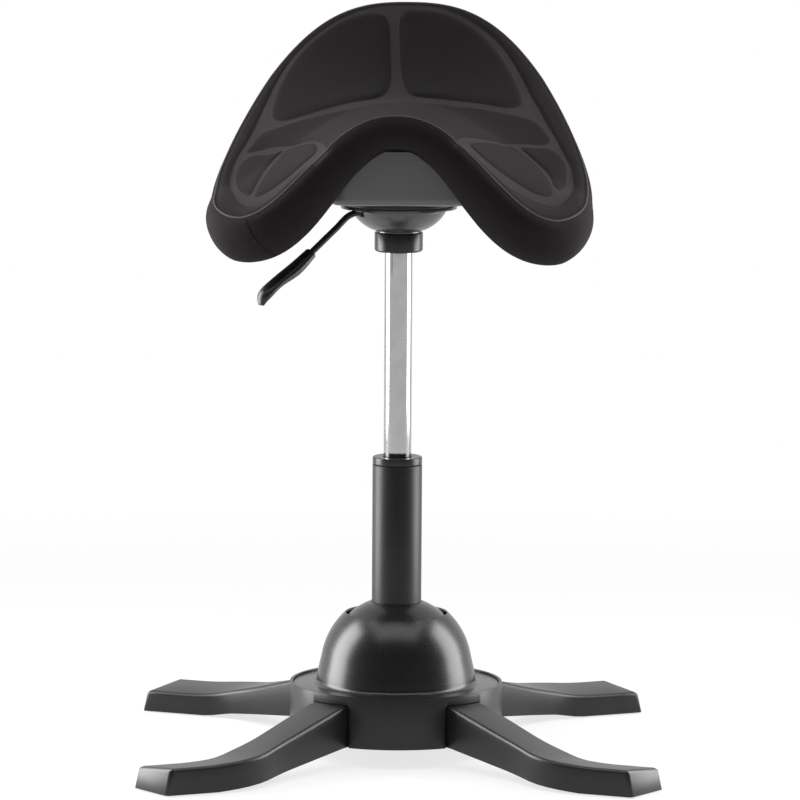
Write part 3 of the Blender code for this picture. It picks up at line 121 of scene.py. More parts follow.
def lightStudio():
    for name, side, watts in (("leftBox", -1.0, studio["leftWatts"]), ("rightBox", 1.0, studio["rightWatts"])):
        place = (side * studio["sideReach"], studio["sideBack"], studio["sideHeight"])
        softbox(name, place, studio["sideAim"], studio["sideSize"], watts)
    softbox("topBox", studio["topPlace"], studio["topAim"], studio["topSize"], studio["topWatts"])


lightStudio()


def addNode(tree, kind, sockets=None, **settings):  # each socket gets a constant or a link
    node = tree.nodes.new("ShaderNode" + kind)
    for key, value in settings.items():
        setattr(node, key, value)
    for key, value in (sockets or {}).items():
        if isinstance(value, bpy.types.NodeSocket):
            tree.links.new(value, node.inputs[key])
        else:
            node.inputs[key].default_value = value
    return node


def joinMath(tree, operation, first, second):
    return addNode(tree, "Math", {0: first, 1: second}, operation=operation).outputs[0]


def ranged(tree, value, low, high, toLow, toHigh, interpolation="SMOOTHSTEP"):
    limits = {"From Min": low, "From Max": high, "To Min": toLow, "To Max": toHigh, "Value": value}
    return addNode(tree, "MapRange", limits, interpolation_type=interpolation).outputs["Result"]


def mixInto(tree, out, share, first, second):
    mix = addNode(tree, "MixShader", {"Fac": share, 1: first.outputs[0], 2: second.outputs[0]})
    tree.links.new(mix.outputs[0], out.inputs["Surface"])


def paleRays(tree):  # what the camera sees, directly, mirrored or through glass
    path = addNode(tree, "LightPath")
    seen = joinMath(tree, "MAXIMUM", path.outputs["Is Camera Ray"], path.outputs["Is Glossy Ray"])
    return joinMath(tree, "MAXIMUM", seen, path.outputs["Is Transmission Ray"])


white = (1.0, 1.0, 1.0, 1.0)


def makeWorld():  # a pale backdrop behind the object; the side it is seen from is a darker room
    world = bpy.data.worlds.new("paleRoom")
    bpy.context.scene.world = world
    world.use_nodes = True
    tree = world.node_tree
    tree.nodes.clear()
    out = addNode(tree, "OutputWorld")
    heading = addNode(tree, "TexCoord")
    split = addNode(tree, "SeparateXYZ", {0: heading.outputs["Generated"]})
    behind = ranged(tree, split.outputs["Y"], -0.25, 0.25, studio["mirroredFront"], 1.0)
    camera = addNode(tree, "LightPath")
    bright = joinMath(tree, "MAXIMUM", behind, camera.outputs["Is Camera Ray"])
    room = addNode(tree, "Background", {"Color": white, "Strength": studio["room"]})
    seen = addNode(tree, "Background", {"Color": white, "Strength": bright})
    mixInto(tree, out, paleRays(tree), room, seen)


makeWorld()


def makeFloor():
    bpy.ops.object.select_all(action="DESELECT")
    bpy.ops.mesh.primitive_plane_add(size=24.0, location=(0.0, 0.0, 0.0))
    floor = bpy.context.active_object
    floor.name = "floor"
    material = bpy.data.materials.new("paleFloor")
    material.use_nodes = True
    tree = material.node_tree
    tree.nodes.clear()
    out = addNode(tree, "OutputMaterial")
    shade = studio["floorShade"]
    matt = addNode(tree, "BsdfDiffuse", {"Color": (shade, shade, shade, 1.0)})
    glow = addNode(tree, "Emission", {"Color": white})
    away = addNode(tree, "VectorMath", {0: addNode(tree, "TexCoord").outputs["Object"]}, operation="LENGTH")
    spread = ranged(tree, away.outputs["Value"], 0.25, 1.6, studio["floorGlow"], 1.0, "LINEAR")
    mixInto(tree, out, joinMath(tree, "MULTIPLY", paleRays(tree), spread), matt, glow)
    floor.data.materials.append(material)


makeFloor()
print("studio ready")


def newFinish(name):
    material = bpy.data.materials.new(name)
    material.use_nodes = True
    tree = material.node_tree
    return material, tree, tree.nodes["Principled BSDF"]


def objectPlace(tree):
    return addNode(tree, "TexCoord").outputs["Object"]


def noiseAt(tree, place, scale, detail=3.0, roughness=0.5):
    sockets = {"Scale": scale, "Detail": detail, "Roughness": roughness, "Vector": place}
    return addNode(tree, "TexNoise", sockets).outputs["Fac"]


def colourOf(value):
    return (*value, 1.0) if isinstance(value, tuple) else value


def blendColours(tree, share, first, second):
    mix = addNode(tree, "Mix", data_type="RGBA")
    tree.links.new(share, mix.inputs["Factor"])
    for socket, colour in ((mix.inputs[6], colourOf(first)), (mix.inputs[7], colourOf(second))):
        if isinstance(colour, tuple):
            socket.default_value = colour
        else:
            tree.links.new(colour, socket)
    return mix.outputs[2]


def addBump(tree, shader, height, depth, before=None):
    sockets = {"Strength": 1.0, "Distance": depth, "Height": height}
    if before is not None:
        sockets["Normal"] = before
    bump = addNode(tree, "Bump", sockets)
    tree.links.new(bump.outputs["Normal"], shader.inputs["Normal"])
    return bump.outputs["Normal"]


def readMark(tree, name):
    return addNode(tree, "Attribute", attribute_name=name).outputs["Fac"]


def mouldedFinish(name, look):
    material, tree, shader = newFinish(name)
    place = objectPlace(tree)
    cloudy = ranged(tree, noiseAt(tree, place, look["patch"], 4.0), 0.35, 0.65, 0.0, 1.0)
    base = blendColours(tree, cloudy, look["dark"], look["light"])
    edgeBreakup = ranged(tree, noiseAt(tree, place, 160.0, 5.0), 0.35, 0.7, 0.25, 1.0)
    # outer edges take a lighter colour: partly wear, partly a painted highlight along the edges
    rubbedAndGlinting = joinMath(tree, "MULTIPLY", readMark(tree, "wearAndGlint"), edgeBreakup)
    tree.links.new(blendColours(tree, rubbedAndGlinting, base, look["wornAndGlint"]), shader.inputs["Base Color"])
    grain = noiseAt(tree, place, look["grain"], 2.0)
    rough = ranged(tree, grain, 0.3, 0.7, look["smoothest"], look["roughest"])
    tree.links.new(rough, shader.inputs["Roughness"])
    shader.inputs["Metallic"].default_value = look["metallic"]
    shader.inputs["Specular IOR Level"].default_value = look["specular"]
    addBump(tree, shader, grain, look["depth"])
    return material


# each finish's worn colour lightens its outer edges: edge wear and a painted edge highlight
looks = {
    "blackNylon": {
        "dark": (0.0050, 0.0048, 0.0048), "light": (0.0066, 0.0064, 0.0063), "wornAndGlint": (0.026, 0.025, 0.025),
        "patch": 26.0, "grain": 1500.0, "depth": 0.000018, "smoothest": 0.32, "roughest": 0.40,
        "metallic": 0.0, "specular": 0.42,
    },
    "domeNylon": {
        "dark": (0.0050, 0.0047, 0.0044), "light": (0.0066, 0.0062, 0.0058), "wornAndGlint": (0.026, 0.025, 0.024),
        "patch": 26.0, "grain": 1500.0, "depth": 0.000003, "smoothest": 0.25, "roughest": 0.31,
        "metallic": 0.0, "specular": 0.50,
    },
    "bellGloss": {
        "dark": (0.024, 0.0236, 0.0238), "light": (0.029, 0.0285, 0.0288), "wornAndGlint": (0.060, 0.059, 0.059),
        "patch": 30.0, "grain": 500.0, "depth": 0.000001, "smoothest": 0.245, "roughest": 0.255,
        "metallic": 0.0, "specular": 0.80,
    },
    "glossBlack": {
        "dark": (0.0055, 0.0054, 0.0055), "light": (0.0070, 0.0069, 0.0070), "wornAndGlint": (0.020, 0.020, 0.020),
        "patch": 30.0, "grain": 500.0, "depth": 0.000003, "smoothest": 0.28, "roughest": 0.29,
        "metallic": 0.0, "specular": 0.36,
    },
    "paintedTube": {
        "dark": (0.0090, 0.0085, 0.0088), "light": (0.0120, 0.0113, 0.0117), "wornAndGlint": (0.035, 0.034, 0.034),
        "patch": 34.0, "grain": 1100.0, "depth": 0.00002, "smoothest": 0.36, "roughest": 0.44,
        "metallic": 0.0, "specular": 0.32,
    },
    "greyPan": {
        "dark": (0.0820, 0.0800, 0.0815), "light": (0.0880, 0.0860, 0.0875), "wornAndGlint": (0.17, 0.168, 0.169),
        "patch": 14.0, "grain": 900.0, "depth": 0.00003, "smoothest": 0.32, "roughest": 0.40,
        "metallic": 0.0, "specular": 0.50,
    },
    "satinChrome": {
        "dark": (0.37, 0.37, 0.375), "light": (0.40, 0.40, 0.405), "wornAndGlint": (0.55, 0.55, 0.55),
        "patch": 60.0, "grain": 700.0, "depth": 0.000003, "smoothest": 0.10, "roughest": 0.15,
        "metallic": 1.0, "specular": 0.5,
    },
    "zincSteel": {
        "dark": (0.42, 0.42, 0.43), "light": (0.55, 0.55, 0.55), "wornAndGlint": (0.65, 0.65, 0.65),
        "patch": 120.0, "grain": 900.0, "depth": 0.00001, "smoothest": 0.28, "roughest": 0.40,
        "metallic": 1.0, "specular": 0.5,
    },
    "castMetal": {
        "dark": (0.30, 0.30, 0.31), "light": (0.40, 0.40, 0.41), "wornAndGlint": (0.55, 0.55, 0.55),
        "patch": 90.0, "grain": 800.0, "depth": 0.00006, "smoothest": 0.42, "roughest": 0.58,
        "metallic": 1.0, "specular": 0.5,
    },
    "rubber": {
        "dark": (0.060, 0.059, 0.058), "light": (0.085, 0.083, 0.081), "wornAndGlint": (0.16, 0.157, 0.153),
        "patch": 70.0, "grain": 900.0, "depth": 0.00005, "smoothest": 0.70, "roughest": 0.85,
        "metallic": 0.0, "specular": 0.3,
    },
    "paleNylon": {
        "dark": (0.56, 0.54, 0.49), "light": (0.64, 0.62, 0.57), "wornAndGlint": (0.70, 0.68, 0.64),
        "patch": 60.0, "grain": 900.0, "depth": 0.00003, "smoothest": 0.42, "roughest": 0.55,
        "metallic": 0.0, "specular": 0.45,
    },
}

finishes = {name: mouldedFinish(name, look) for name, look in looks.items()}


def plywoodFinish():
    material, tree, shader = newFinish("plywood")
    place = objectPlace(tree)
    stretch = addNode(tree, "Mapping", {"Scale": (90.0, 7.0, 90.0), "Vector": place})
    figure = noiseAt(tree, stretch.outputs["Vector"], 1.0, 6.0, 0.6)
    bands = ranged(tree, figure, 0.30, 0.70, 0.0, 1.0)
    base = blendColours(tree, bands, (0.050, 0.038, 0.029), (0.082, 0.064, 0.050))
    pores = ranged(tree, noiseAt(tree, stretch.outputs["Vector"], 6.0, 2.0), 0.60, 0.72, 0.0, 0.5)
    tree.links.new(blendColours(tree, pores, base, (0.030, 0.023, 0.018)), shader.inputs["Base Color"])
    tree.links.new(ranged(tree, figure, 0.3, 0.7, 0.58, 0.74), shader.inputs["Roughness"])
    shader.inputs["Specular IOR Level"].default_value = 0.35
    addBump(tree, shader, figure, 0.00015)
    return material


finishes["plywood"] = plywoodFinish()


cloth = {
    "pads": (0.0058, 0.0047, 0.0049),
    "panels": (0.0070, 0.0048, 0.0051),
    "border": (0.0100, 0.0078, 0.0082),
    "boxing": (0.0086, 0.0069, 0.0072),
    "bands": (0.0240, 0.0196, 0.0202),
    "seam": (0.070, 0.063, 0.064),
    "pitch": 0.0011,      # metres between threads
    "threadDepth": 0.00012,
}


def weave(tree, place):  # two crossing sets of threads
    heights = []
    for turn in (45.0, -45.0):
        lie = addNode(tree, "Mapping", {"Rotation": (0.0, 0.0, math.radians(turn)), "Vector": place})
        sockets = {"Scale": 0.314 / cloth["pitch"], "Distortion": 0.6, "Detail": 1.0, "Vector": lie.outputs["Vector"]}
        wave = addNode(tree, "TexWave", sockets, wave_type="BANDS", bands_direction="X")
        heights.append(wave.outputs["Fac"])
    return joinMath(tree, "MAXIMUM", heights[0], heights[1])


def clothFinish(name, marked):
    material, tree, shader = newFinish(name)
    chart = addNode(tree, "UVMap", uv_map="lay")
    threads = weave(tree, chart.outputs["UV"])
    place = objectPlace(tree)
    fibres = noiseAt(tree, place, 1800.0, 2.0)
    patches = noiseAt(tree, place, 34.0, 4.0)
    if marked:
        inPad = ranged(tree, readMark(tree, "padGap"), -0.0003, 0.0005, 0.0, 1.0)
        inBorder = ranged(tree, readMark(tree, "borderGap"), -0.0003, 0.0005, 0.0, 1.0)
        inBand = ranged(tree, readMark(tree, "bandGap"), -0.0002, 0.0006, 0.0, 1.0)
        base = blendColours(tree, inPad, cloth["panels"], cloth["pads"])
        base = blendColours(tree, inBorder, base, cloth["border"])
        base = blendColours(tree, inBand, base, cloth["bands"])
        onSide = ranged(tree, readMark(tree, "sideGap"), 0.0, 0.003, 0.0, 1.0)
        base = blendColours(tree, onSide, base, cloth["boxing"])
    else:
        base = cloth["seam"]
    fuzz = ranged(tree, fibres, 0.25, 0.75, -0.16, 0.16)
    toneShift = joinMath(tree, "ADD", fuzz, ranged(tree, patches, 0.3, 0.7, 0.93, 1.07))
    # darker in the weave's troughs, where its bump is low: painted shade between the threads
    toneShift = joinMath(tree, "ADD", toneShift, ranged(tree, threads, 0.2, 1.0, -0.14, 0.06))
    shade = addNode(tree, "HueSaturation", {"Color": colourOf(base), "Value": toneShift})
    tree.links.new(shade.outputs["Color"], shader.inputs["Base Color"])
    shader.inputs["Roughness"].default_value = 0.92
    shader.inputs["Specular IOR Level"].default_value = 0.12
    shader.inputs["Sheen Weight"].default_value = 0.02
    shader.inputs["Sheen Roughness"].default_value = 0.45
    shader.inputs["Sheen Tint"].default_value = (1.0, 0.93, 0.94, 1.0)
    first = addBump(tree, shader, threads, cloth["threadDepth"])
    addBump(tree, shader, fibres, 0.00006, first)
    return material


finishes["cloth"] = clothFinish("blackCloth", True)
finishes["seamCloth"] = clothFinish("seamCloth", False)

nodeFinishes = {
    "black_nylon": "blackNylon", "gloss_black": "glossBlack", "grey_plastic": "greyPan",
    "black_steel": "paintedTube", "chrome": "satinChrome", "steel": "zincSteel",
    "die_cast": "castMetal", "rubber": "rubber", "pale_nylon": "paleNylon", "plywood": "plywood",
    "upholstery": "cloth",
}

for name, node in nodes.items():
    for slot in node.material_slots:
        slot.material = finishes[nodeFinishes[slot.material.name.split(".")[0]]]
print("finishes set")


def clearSelection():
    if bpy.context.mode != "OBJECT":
        bpy.ops.object.mode_set(mode="OBJECT")
    bpy.ops.object.select_all(action="DESELECT")


def takeUp(piece):
    clearSelection()
    piece.select_set(True)
    bpy.context.view_layer.objects.active = piece


def fixPlace():  # place, turn and size go into the mesh
    bpy.ops.object.transform_apply(location=True, rotation=True, scale=True)


def closeEdit():  # faces outwards, editing done
    bpy.ops.mesh.select_all(action="SELECT")
    bpy.ops.mesh.normals_make_consistent(inside=False)
    bpy.ops.object.mode_set(mode="OBJECT")


def turnTo(piece, degrees):
    takeUp(piece)
    piece.rotation_euler.z = math.radians(degrees)
    fixPlace()


def startPiece(name):  # names the new primitive and opens it for editing, its place in its mesh
    piece = bpy.context.active_object
    piece.name = name
    piece.data.name = name
    fixPlace()
    bpy.ops.object.mode_set(mode="EDIT")
    bpy.ops.mesh.select_all(action="SELECT")
    return piece


def pickPoints(piece, wanted):
    mesh = bmesh.from_edit_mesh(piece.data)
    for item in (*mesh.faces, *mesh.edges, *mesh.verts):
        item.select_set(False)
    for vert in mesh.verts:
        if wanted(vert.co):
            vert.select_set(True)
    mesh.select_flush(True)
    bmesh.update_edit_mesh(piece.data)


def pickEdges(piece, wanted):
    mesh = bmesh.from_edit_mesh(piece.data)
    for item in (*mesh.faces, *mesh.edges, *mesh.verts):
        item.select_set(False)
    for edge in mesh.edges:
        if wanted(edge.verts[0].co, edge.verts[1].co):
            edge.select_set(True)
    bmesh.update_edit_mesh(piece.data)


def applyModifier(piece, kind, **settings):
    takeUp(piece)
    modifier = piece.modifiers.new(kind.lower(), kind)
    for key, value in settings.items():
        setattr(modifier, key, value)
    bpy.ops.object.modifier_apply(modifier=modifier.name)


def soften(piece, width, segments=3, angle=28.0):
    applyModifier(
        piece, "BEVEL", width=width, segments=segments, limit_method="ANGLE",
        angle_limit=math.radians(angle), use_clamp_overlap=True, miter_outer="MITER_ARC",
    )


def cutWith(piece, tool):
    applyModifier(piece, "BOOLEAN", operation="DIFFERENCE", object=tool, solver="EXACT")
    bpy.data.objects.remove(tool, do_unlink=True)


def keepWithin(piece, limits):
    applyModifier(piece, "BOOLEAN", operation="INTERSECT", object=limits, solver="EXACT")
    bpy.data.objects.remove(limits, do_unlink=True)


def joinWith(piece, other):
    applyModifier(piece, "BOOLEAN", operation="UNION", object=other, solver="EXACT")
    bpy.data.objects.remove(other, do_unlink=True)


# the mark it stores lightens outer edges in the finish, as wear and as a painted edge highlight
def markWearAndGlint(piece, name="wearAndGlint"):  # how far each point stands on an outer edge, none on broad faces
    mesh = bmesh.new()
    mesh.from_mesh(piece.data)
    layer = mesh.verts.layers.float.new(name)
    for vert in mesh.verts:
        bend = 0.0
        if all(face.calc_area() < 0.00002 for face in vert.link_faces):
            for edge in vert.link_edges:
                if len(edge.link_faces) == 2:
                    bend = max(bend, edge.calc_face_angle_signed(0.0))
        vert[layer] = min(max((bend - 0.30) / 0.35, 0.0), 1.0)
    mesh.to_mesh(piece.data)
    mesh.free()


def finishPiece(piece, finish, body, replaced, angle=32.0):
    takeUp(piece)
    bpy.ops.object.shade_smooth_by_angle(angle=math.radians(angle))
    markWearAndGlint(piece)
    piece.data.materials.clear()
    piece.data.materials.append(finishes[finish])
    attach(piece, body)
    if replaced:
        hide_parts(*replaced)
    return piece


def turnPiece(name, rings, steps=96, closed=True):  # an outline of (radius, height) carried round the column
    clearSelection()
    radius, height = rings[0]
    bpy.ops.mesh.primitive_circle_add(vertices=steps, radius=radius, location=(0.0, 0.0, height))
    piece = startPiece(name)
    following = rings[1:] + ([rings[0]] if closed else [])
    for nextRadius, nextHeight in following:
        bpy.ops.mesh.extrude_region_move(TRANSFORM_OT_translate={"value": (0.0, 0.0, nextHeight - height)})
        share = nextRadius / radius
        bpy.ops.transform.resize(value=(share, share, 1.0), center_override=(0.0, 0.0, nextHeight))
        radius, height = nextRadius, nextHeight
    if closed:
        bpy.ops.mesh.select_all(action="SELECT")
        bpy.ops.mesh.remove_doubles(threshold=0.000004)
    else:  # flat ends
        bpy.ops.mesh.edge_face_add()
        firstRadius, firstHeight = rings[0]
        pickPoints(piece, lambda co: abs(co.z - firstHeight) < 1e-6 and abs(co.xy.length - firstRadius) < 1e-5)
        bpy.ops.mesh.edge_face_add()
    closeEdit()
    return piece


def arcRings(radius, start, stop, steps, centre):  # degrees from the column's axis
    rings = []
    for index in range(steps + 1):
        angle = math.radians(start + (stop - start) * index / steps)
        rings.append((radius * math.sin(angle), centre + radius * math.cos(angle)))
    return rings


leg = {
    "rootHeading": 51.0,     # degrees from +X
    "footHeading": 22.5,
    "bendAt": 0.2547,
    "bendRadius": 0.070,
    "rootStart": 0.069,
    "floorEdge": 0.1025,     # where it drops below the hub's floor
    "hubRadius": 0.107,
    "length": 0.33974,
    "rootWidth": 0.043,
    "footWidth": 0.054,
    "rootTop": 0.063,
    "rootSlope": -0.205,
    "outerTop": 0.0285,      # the foot's top is higher on its outer side
    "innerTop": 0.0230,
    "footFlat": 0.035,
    "onFloor": 0.0293,
    "rootUnder": 0.021,
    "under": 0.0015,
    "heel": 0.280,
    "spacing": 0.0095,
    "edgeRound": 0.0040,
    "skew": 0.014,
    "draft": 0.005,
    "wall": 0.0035,
    "pockets": ((0.1270, 0.1621), (0.1656, 0.2006), (0.2041, 0.2392)),
    "clearance": 0.0008,
    "glideAt": 0.29974,
}


def eased(value):
    value = min(max(value, 0.0), 1.0)
    return value * value * (3.0 - 2.0 * value)


def legHalfWidth(along):
    share = eased((along - leg["bendAt"] + 0.060) / 0.070)
    return 0.5 * (leg["rootWidth"] + (leg["footWidth"] - leg["rootWidth"]) * share)


def legTop(along, footTop):
    run = leg["length"] - leg["footFlat"] - leg["hubRadius"]
    share = min(max((along - leg["hubRadius"]) / run, 0.0), 1.0)
    startSlope = leg["rootSlope"] * run / (leg["rootTop"] - footTop)
    easing = 2.0 * share ** 3 - 3.0 * share ** 2 + 1.0
    return footTop + (leg["rootTop"] - footTop) * (easing + startSlope * (share ** 3 - 2.0 * share ** 2 + share))


def legUnder(along):
    share = min(max((along - leg["hubRadius"]) / (leg["heel"] - leg["hubRadius"]), 0.0), 1.0)
    return leg["rootUnder"] + (leg["under"] - leg["rootUnder"]) * share


def legBar(name, stations, spare=0.0):  # a straight bar along X; each station is a distance and its underside
    clearSelection()
    along, low = stations[0]
    half = legHalfWidth(along) + spare
    upright = (0.0, math.radians(90.0), 0.0)
    bpy.ops.mesh.primitive_plane_add(size=1.0, location=(along, 0.0, 0.0), rotation=upright)
    bar = startPiece(name)
    bpy.ops.transform.resize(value=(1.0, 2.0 * half, 0.02), center_override=(along, 0.0, 0.0))
    previous = None
    for along, low in stations:
        newHalf = legHalfWidth(along) + spare
        if previous is not None:
            bpy.ops.mesh.extrude_region_move(TRANSFORM_OT_translate={"value": (along - previous, 0.0, 0.0)})
            bpy.ops.transform.resize(value=(1.0, newHalf / half, 1.0), center_override=(along, 0.0, 0.0))
        half = newHalf
        ends = [vert.co.copy() for vert in bmesh.from_edit_mesh(bar.data).verts if abs(vert.co.x - along) < 1e-6]
        middle = sum(co.z for co in ends) / 4.0
        outerTop, innerTop = legTop(along, leg["outerTop"]) + spare, legTop(along, leg["innerTop"]) + spare
        levels = ((-1.0, -1.0, low), (-1.0, 1.0, low), (1.0, 1.0, outerTop), (1.0, -1.0, innerTop))
        for rise, side, level in levels:
            corner = next(co for co in ends if (co.z - middle) * rise > 0.0 and co.y * side > 0.0)
            pickPoints(bar, lambda co: (co - corner).length < 1e-6)
            bpy.ops.transform.translate(value=(0.0, 0.0, level - corner.z))
        pickPoints(bar, lambda co: abs(co.x - along) < 1e-6)
        previous = along
    return bar


def onLegTop(co):
    return co.z > 0.5 * (legUnder(co.x) + legTop(co.x, leg["innerTop"]))


def polyLine(name, points, dimensions):
    data = bpy.data.curves.new(name, "CURVE")
    data.dimensions = dimensions
    line = data.splines.new("POLY")
    line.points.add(len(points) - 1)
    for point, place in zip(line.points, points):
        point.co = (place[0], place[1], place[2] if len(place) > 2 else 0.0, 1.0)
    return data, line


def bentAlongLeg(bar):  # carries the straight bar along the leg's plan line
    turn = math.radians(leg["rootHeading"] - leg["footHeading"])
    straight = leg["bendAt"] - leg["bendRadius"] * math.tan(0.5 * turn)
    points = [Vector((0.0, 0.0)), Vector((straight * 0.5, 0.0)), Vector((straight, 0.0))]
    for index in range(1, 33):
        angle = turn * index / 32.0
        ahead, aside = leg["bendRadius"] * math.sin(angle), -leg["bendRadius"] * (1.0 - math.cos(angle))
        points.append(Vector((straight + ahead, aside)))
    heading = Vector((math.cos(turn), -math.sin(turn)))
    points.append(points[-1] + heading * 0.05)
    points.append(points[-1] + heading * 0.05)
    guide = addObject("legLine", polyLine("legLine", points, "2D")[0])
    applyModifier(bar, "CURVE", object=guide, deform_axis="POS_X")
    bpy.data.objects.remove(guide, do_unlink=True)
    turnTo(bar, leg["rootHeading"])


def makeLeg():
    stations = [(along, leg["onFloor"]) for along in (leg["rootStart"], 0.090, leg["floorEdge"] - 0.0002)]
    along = leg["floorEdge"]
    while along < leg["length"] - 0.5 * leg["spacing"]:
        stations.append((along, legUnder(along)))
        along += leg["spacing"]
    stations.append((leg["length"], legUnder(leg["length"])))
    bar = legBar("leg", stations)
    end = leg["length"]
    for side in (1.0, -1.0):  # the foot's end is askew and leans out at its bottom
        pickPoints(bar, lambda co: co.x > end - 0.001 and co.y * side > 0.0 and abs(co.x - end) < 1e-6)
        bpy.ops.transform.translate(value=(-0.5 * side * leg["skew"], 0.0, 0.0))
    pickPoints(bar, lambda co: co.x > end - 0.0075 and co.z < 0.01)
    bpy.ops.transform.translate(value=(leg["draft"], 0.0, 0.0))

    def atEnd(co):
        return co.x > end - 0.0085

    pickEdges(bar, lambda a, b: (onLegTop(a) and onLegTop(b) and (abs(a.y - b.y) < 0.01 or (atEnd(a) and atEnd(b))))
              or (atEnd(a) and atEnd(b) and abs(a.y - b.y) < 1e-4))
    bpy.ops.mesh.bevel(offset=leg["edgeRound"], segments=5, profile=0.5, affect="EDGES")
    closeEdit()
    for start, stop in leg["pockets"]:
        clearSelection()
        bpy.ops.mesh.primitive_cube_add(size=1.0, location=(0.5 * (start + stop), 0.0, 0.0))
        pocket = startPiece("pocket")
        bpy.ops.transform.resize(value=(stop - start, 1.0, 0.02), center_override=(0.5 * (start + stop), 0.0, 0.0))
        for place in (start, stop):
            wide = 2.0 * (legHalfWidth(place) - leg["wall"])
            pickPoints(pocket, lambda co: abs(co.x - place) < 1e-5)
            bpy.ops.transform.resize(value=(1.0, wide, 1.0), center_override=(place, 0.0, 0.0))
            roof = legTop(place, leg["innerTop"]) - leg["wall"] - 0.001
            pickPoints(pocket, lambda co: abs(co.x - place) < 1e-5 and co.z > 0.0)
            bpy.ops.transform.translate(value=(0.0, 0.0, roof - 0.01))
        pickEdges(pocket, lambda a, b: abs(a.z - b.z) > 0.005)
        bpy.ops.mesh.bevel(offset=0.002, segments=3, affect="EDGES")
        bpy.ops.object.mode_set(mode="OBJECT")
        cutWith(bar, pocket)
    clearSelection()
    bpy.ops.mesh.primitive_cylinder_add(vertices=48, radius=0.0153, depth=0.007, location=(leg["glideAt"], 0.0, 0.0))
    recess = startPiece("recess")
    bpy.ops.object.mode_set(mode="OBJECT")
    cutWith(bar, recess)
    soften(bar, 0.0005, 2, 40.0)
    bentAlongLeg(bar)
    return bar


def mirroredCopy(pattern, name, sideX, sideY):
    copy = pattern.copy()
    copy.data = pattern.data.copy()
    copy.name = name
    copy.data.name = name
    bpy.context.scene.collection.objects.link(copy)
    takeUp(copy)
    copy.scale = (sideX, sideY, 1.0)
    fixPlace()
    if sideX * sideY < 0.0:
        bpy.ops.object.mode_set(mode="EDIT")
        closeEdit()
    return copy


quarters = (("frontLeft", "front_left", -1.0, -1.0), ("frontRight", "front_right", 1.0, -1.0),
            ("rearLeft", "rear_left", -1.0, 1.0), ("rearRight", "rear_right", 1.0, 1.0))
legPattern = makeLeg()
for place, corner, sideX, sideY in quarters:
    piece = mirroredCopy(legPattern, place + "Leg", sideX, sideY)
    finishPiece(piece, "blackNylon", "base", ["leg_" + corner], 25.0)
bpy.data.objects.remove(legPattern, do_unlink=True)
print("legs ready")


glide = {"radius": 0.015, "top": 0.0032, "edge": 0.0009, "stem": 0.004, "stemTop": 0.0132}


def makeGlides():
    rings = [(glide["radius"] - 0.0015, 0.0), (glide["radius"], 0.0), (glide["radius"], glide["top"]),
             (glide["stem"], glide["top"]), (glide["stem"], glide["stemTop"])]
    pattern = turnPiece("glide", rings, 48, closed=False)
    soften(pattern, glide["edge"], 3)
    for place, corner, sideX, sideY in quarters:
        low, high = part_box("glide_" + corner)
        piece = mirroredCopy(pattern, place + "Glide", 1.0, 1.0)
        takeUp(piece)
        piece.location = (0.5 * (low.x + high.x), 0.5 * (low.y + high.y), 0.0)
        fixPlace()
        finishPiece(piece, "rubber", "base", ["glide_" + corner])
    bpy.data.objects.remove(pattern, do_unlink=True)


makeGlides()


hub = {
    "radius": 0.107, "bottom": 0.020, "top": 0.072, "wall": 0.003, "ledge": 0.003, "lipDepth": 0.0045,
    "floor": 0.025, "floorTop": 0.029, "wellRadius": 0.058, "wellTop": 0.023, "edge": 0.0009,
    "bossCircle": 0.090, "bossAngle": 26.0, "bossRadius": 0.006, "bossBottom": 0.027, "bossTop": 0.0603,
}


def makeHub():
    lipInner = hub["radius"] - hub["wall"]
    ledgeInner = lipInner - hub["ledge"]
    ledgeLevel = hub["top"] - hub["lipDepth"]
    wellOuter = hub["wellRadius"] + hub["wall"]
    rings = [
        (wellOuter, hub["bottom"]), (wellOuter, hub["floor"]), (lipInner, hub["floor"]), (lipInner, hub["bottom"]),
        (hub["radius"], hub["bottom"]), (hub["radius"], hub["top"]), (lipInner, hub["top"]), (lipInner, ledgeLevel),
        (ledgeInner, ledgeLevel), (ledgeInner, hub["floorTop"]), (hub["wellRadius"], hub["floorTop"]),
        (hub["wellRadius"], hub["wellTop"]),
    ]
    bowl = turnPiece("hubBowl", rings, 160, closed=False)
    for turn in (hub["bossAngle"], hub["bossAngle"] + 180.0):
        clearSelection()
        angle = math.radians(turn)
        circle, low, high = hub["bossCircle"], hub["bossBottom"], hub["bossTop"]
        place = (circle * math.cos(angle), circle * math.sin(angle), 0.5 * (low + high))
        bpy.ops.mesh.primitive_cylinder_add(vertices=24, radius=hub["bossRadius"], depth=high - low, location=place)
        boss = startPiece("boss")
        bpy.ops.object.mode_set(mode="OBJECT")
        joinWith(bowl, boss)
    spare = leg["clearance"]
    for place, corner, sideX, sideY in quarters:
        window = legBar("window", [(0.092, 0.0291), (0.1020, 0.0291), (0.1021, 0.018), (0.118, 0.018)], spare)
        pickEdges(window, lambda a, b: a.z > 0.05 and b.z > 0.05 and abs(a.y - b.y) < 0.01)
        bpy.ops.mesh.bevel(offset=leg["edgeRound"], segments=4, affect="EDGES")
        closeEdit()
        turn = math.radians(leg["rootHeading"])
        turnTo(window, math.degrees(math.atan2(sideY * math.sin(turn), sideX * math.cos(turn))))
        cutWith(bowl, window)
    soften(bowl, hub["edge"], 3, 40.0)
    return finishPiece(bowl, "blackNylon", "base", ["base_hub"], 30.0)


makeHub()
print("hub ready")


dome = {
    "tilt": 0.086, "radius": 0.0765, "wall": 0.0026, "opening": 42.3, "foot": 0.080, "fillet": 0.005,
    "flangeBottom": 0.0678, "flangeTop": 0.0705, "flangeEdge": 0.1036,
    "capRadius": 0.0723, "capWall": 0.0025, "capEdge": 62.0, "capInner": 0.0253, "capCollar": 0.028,
    "collarLength": 0.012,
}


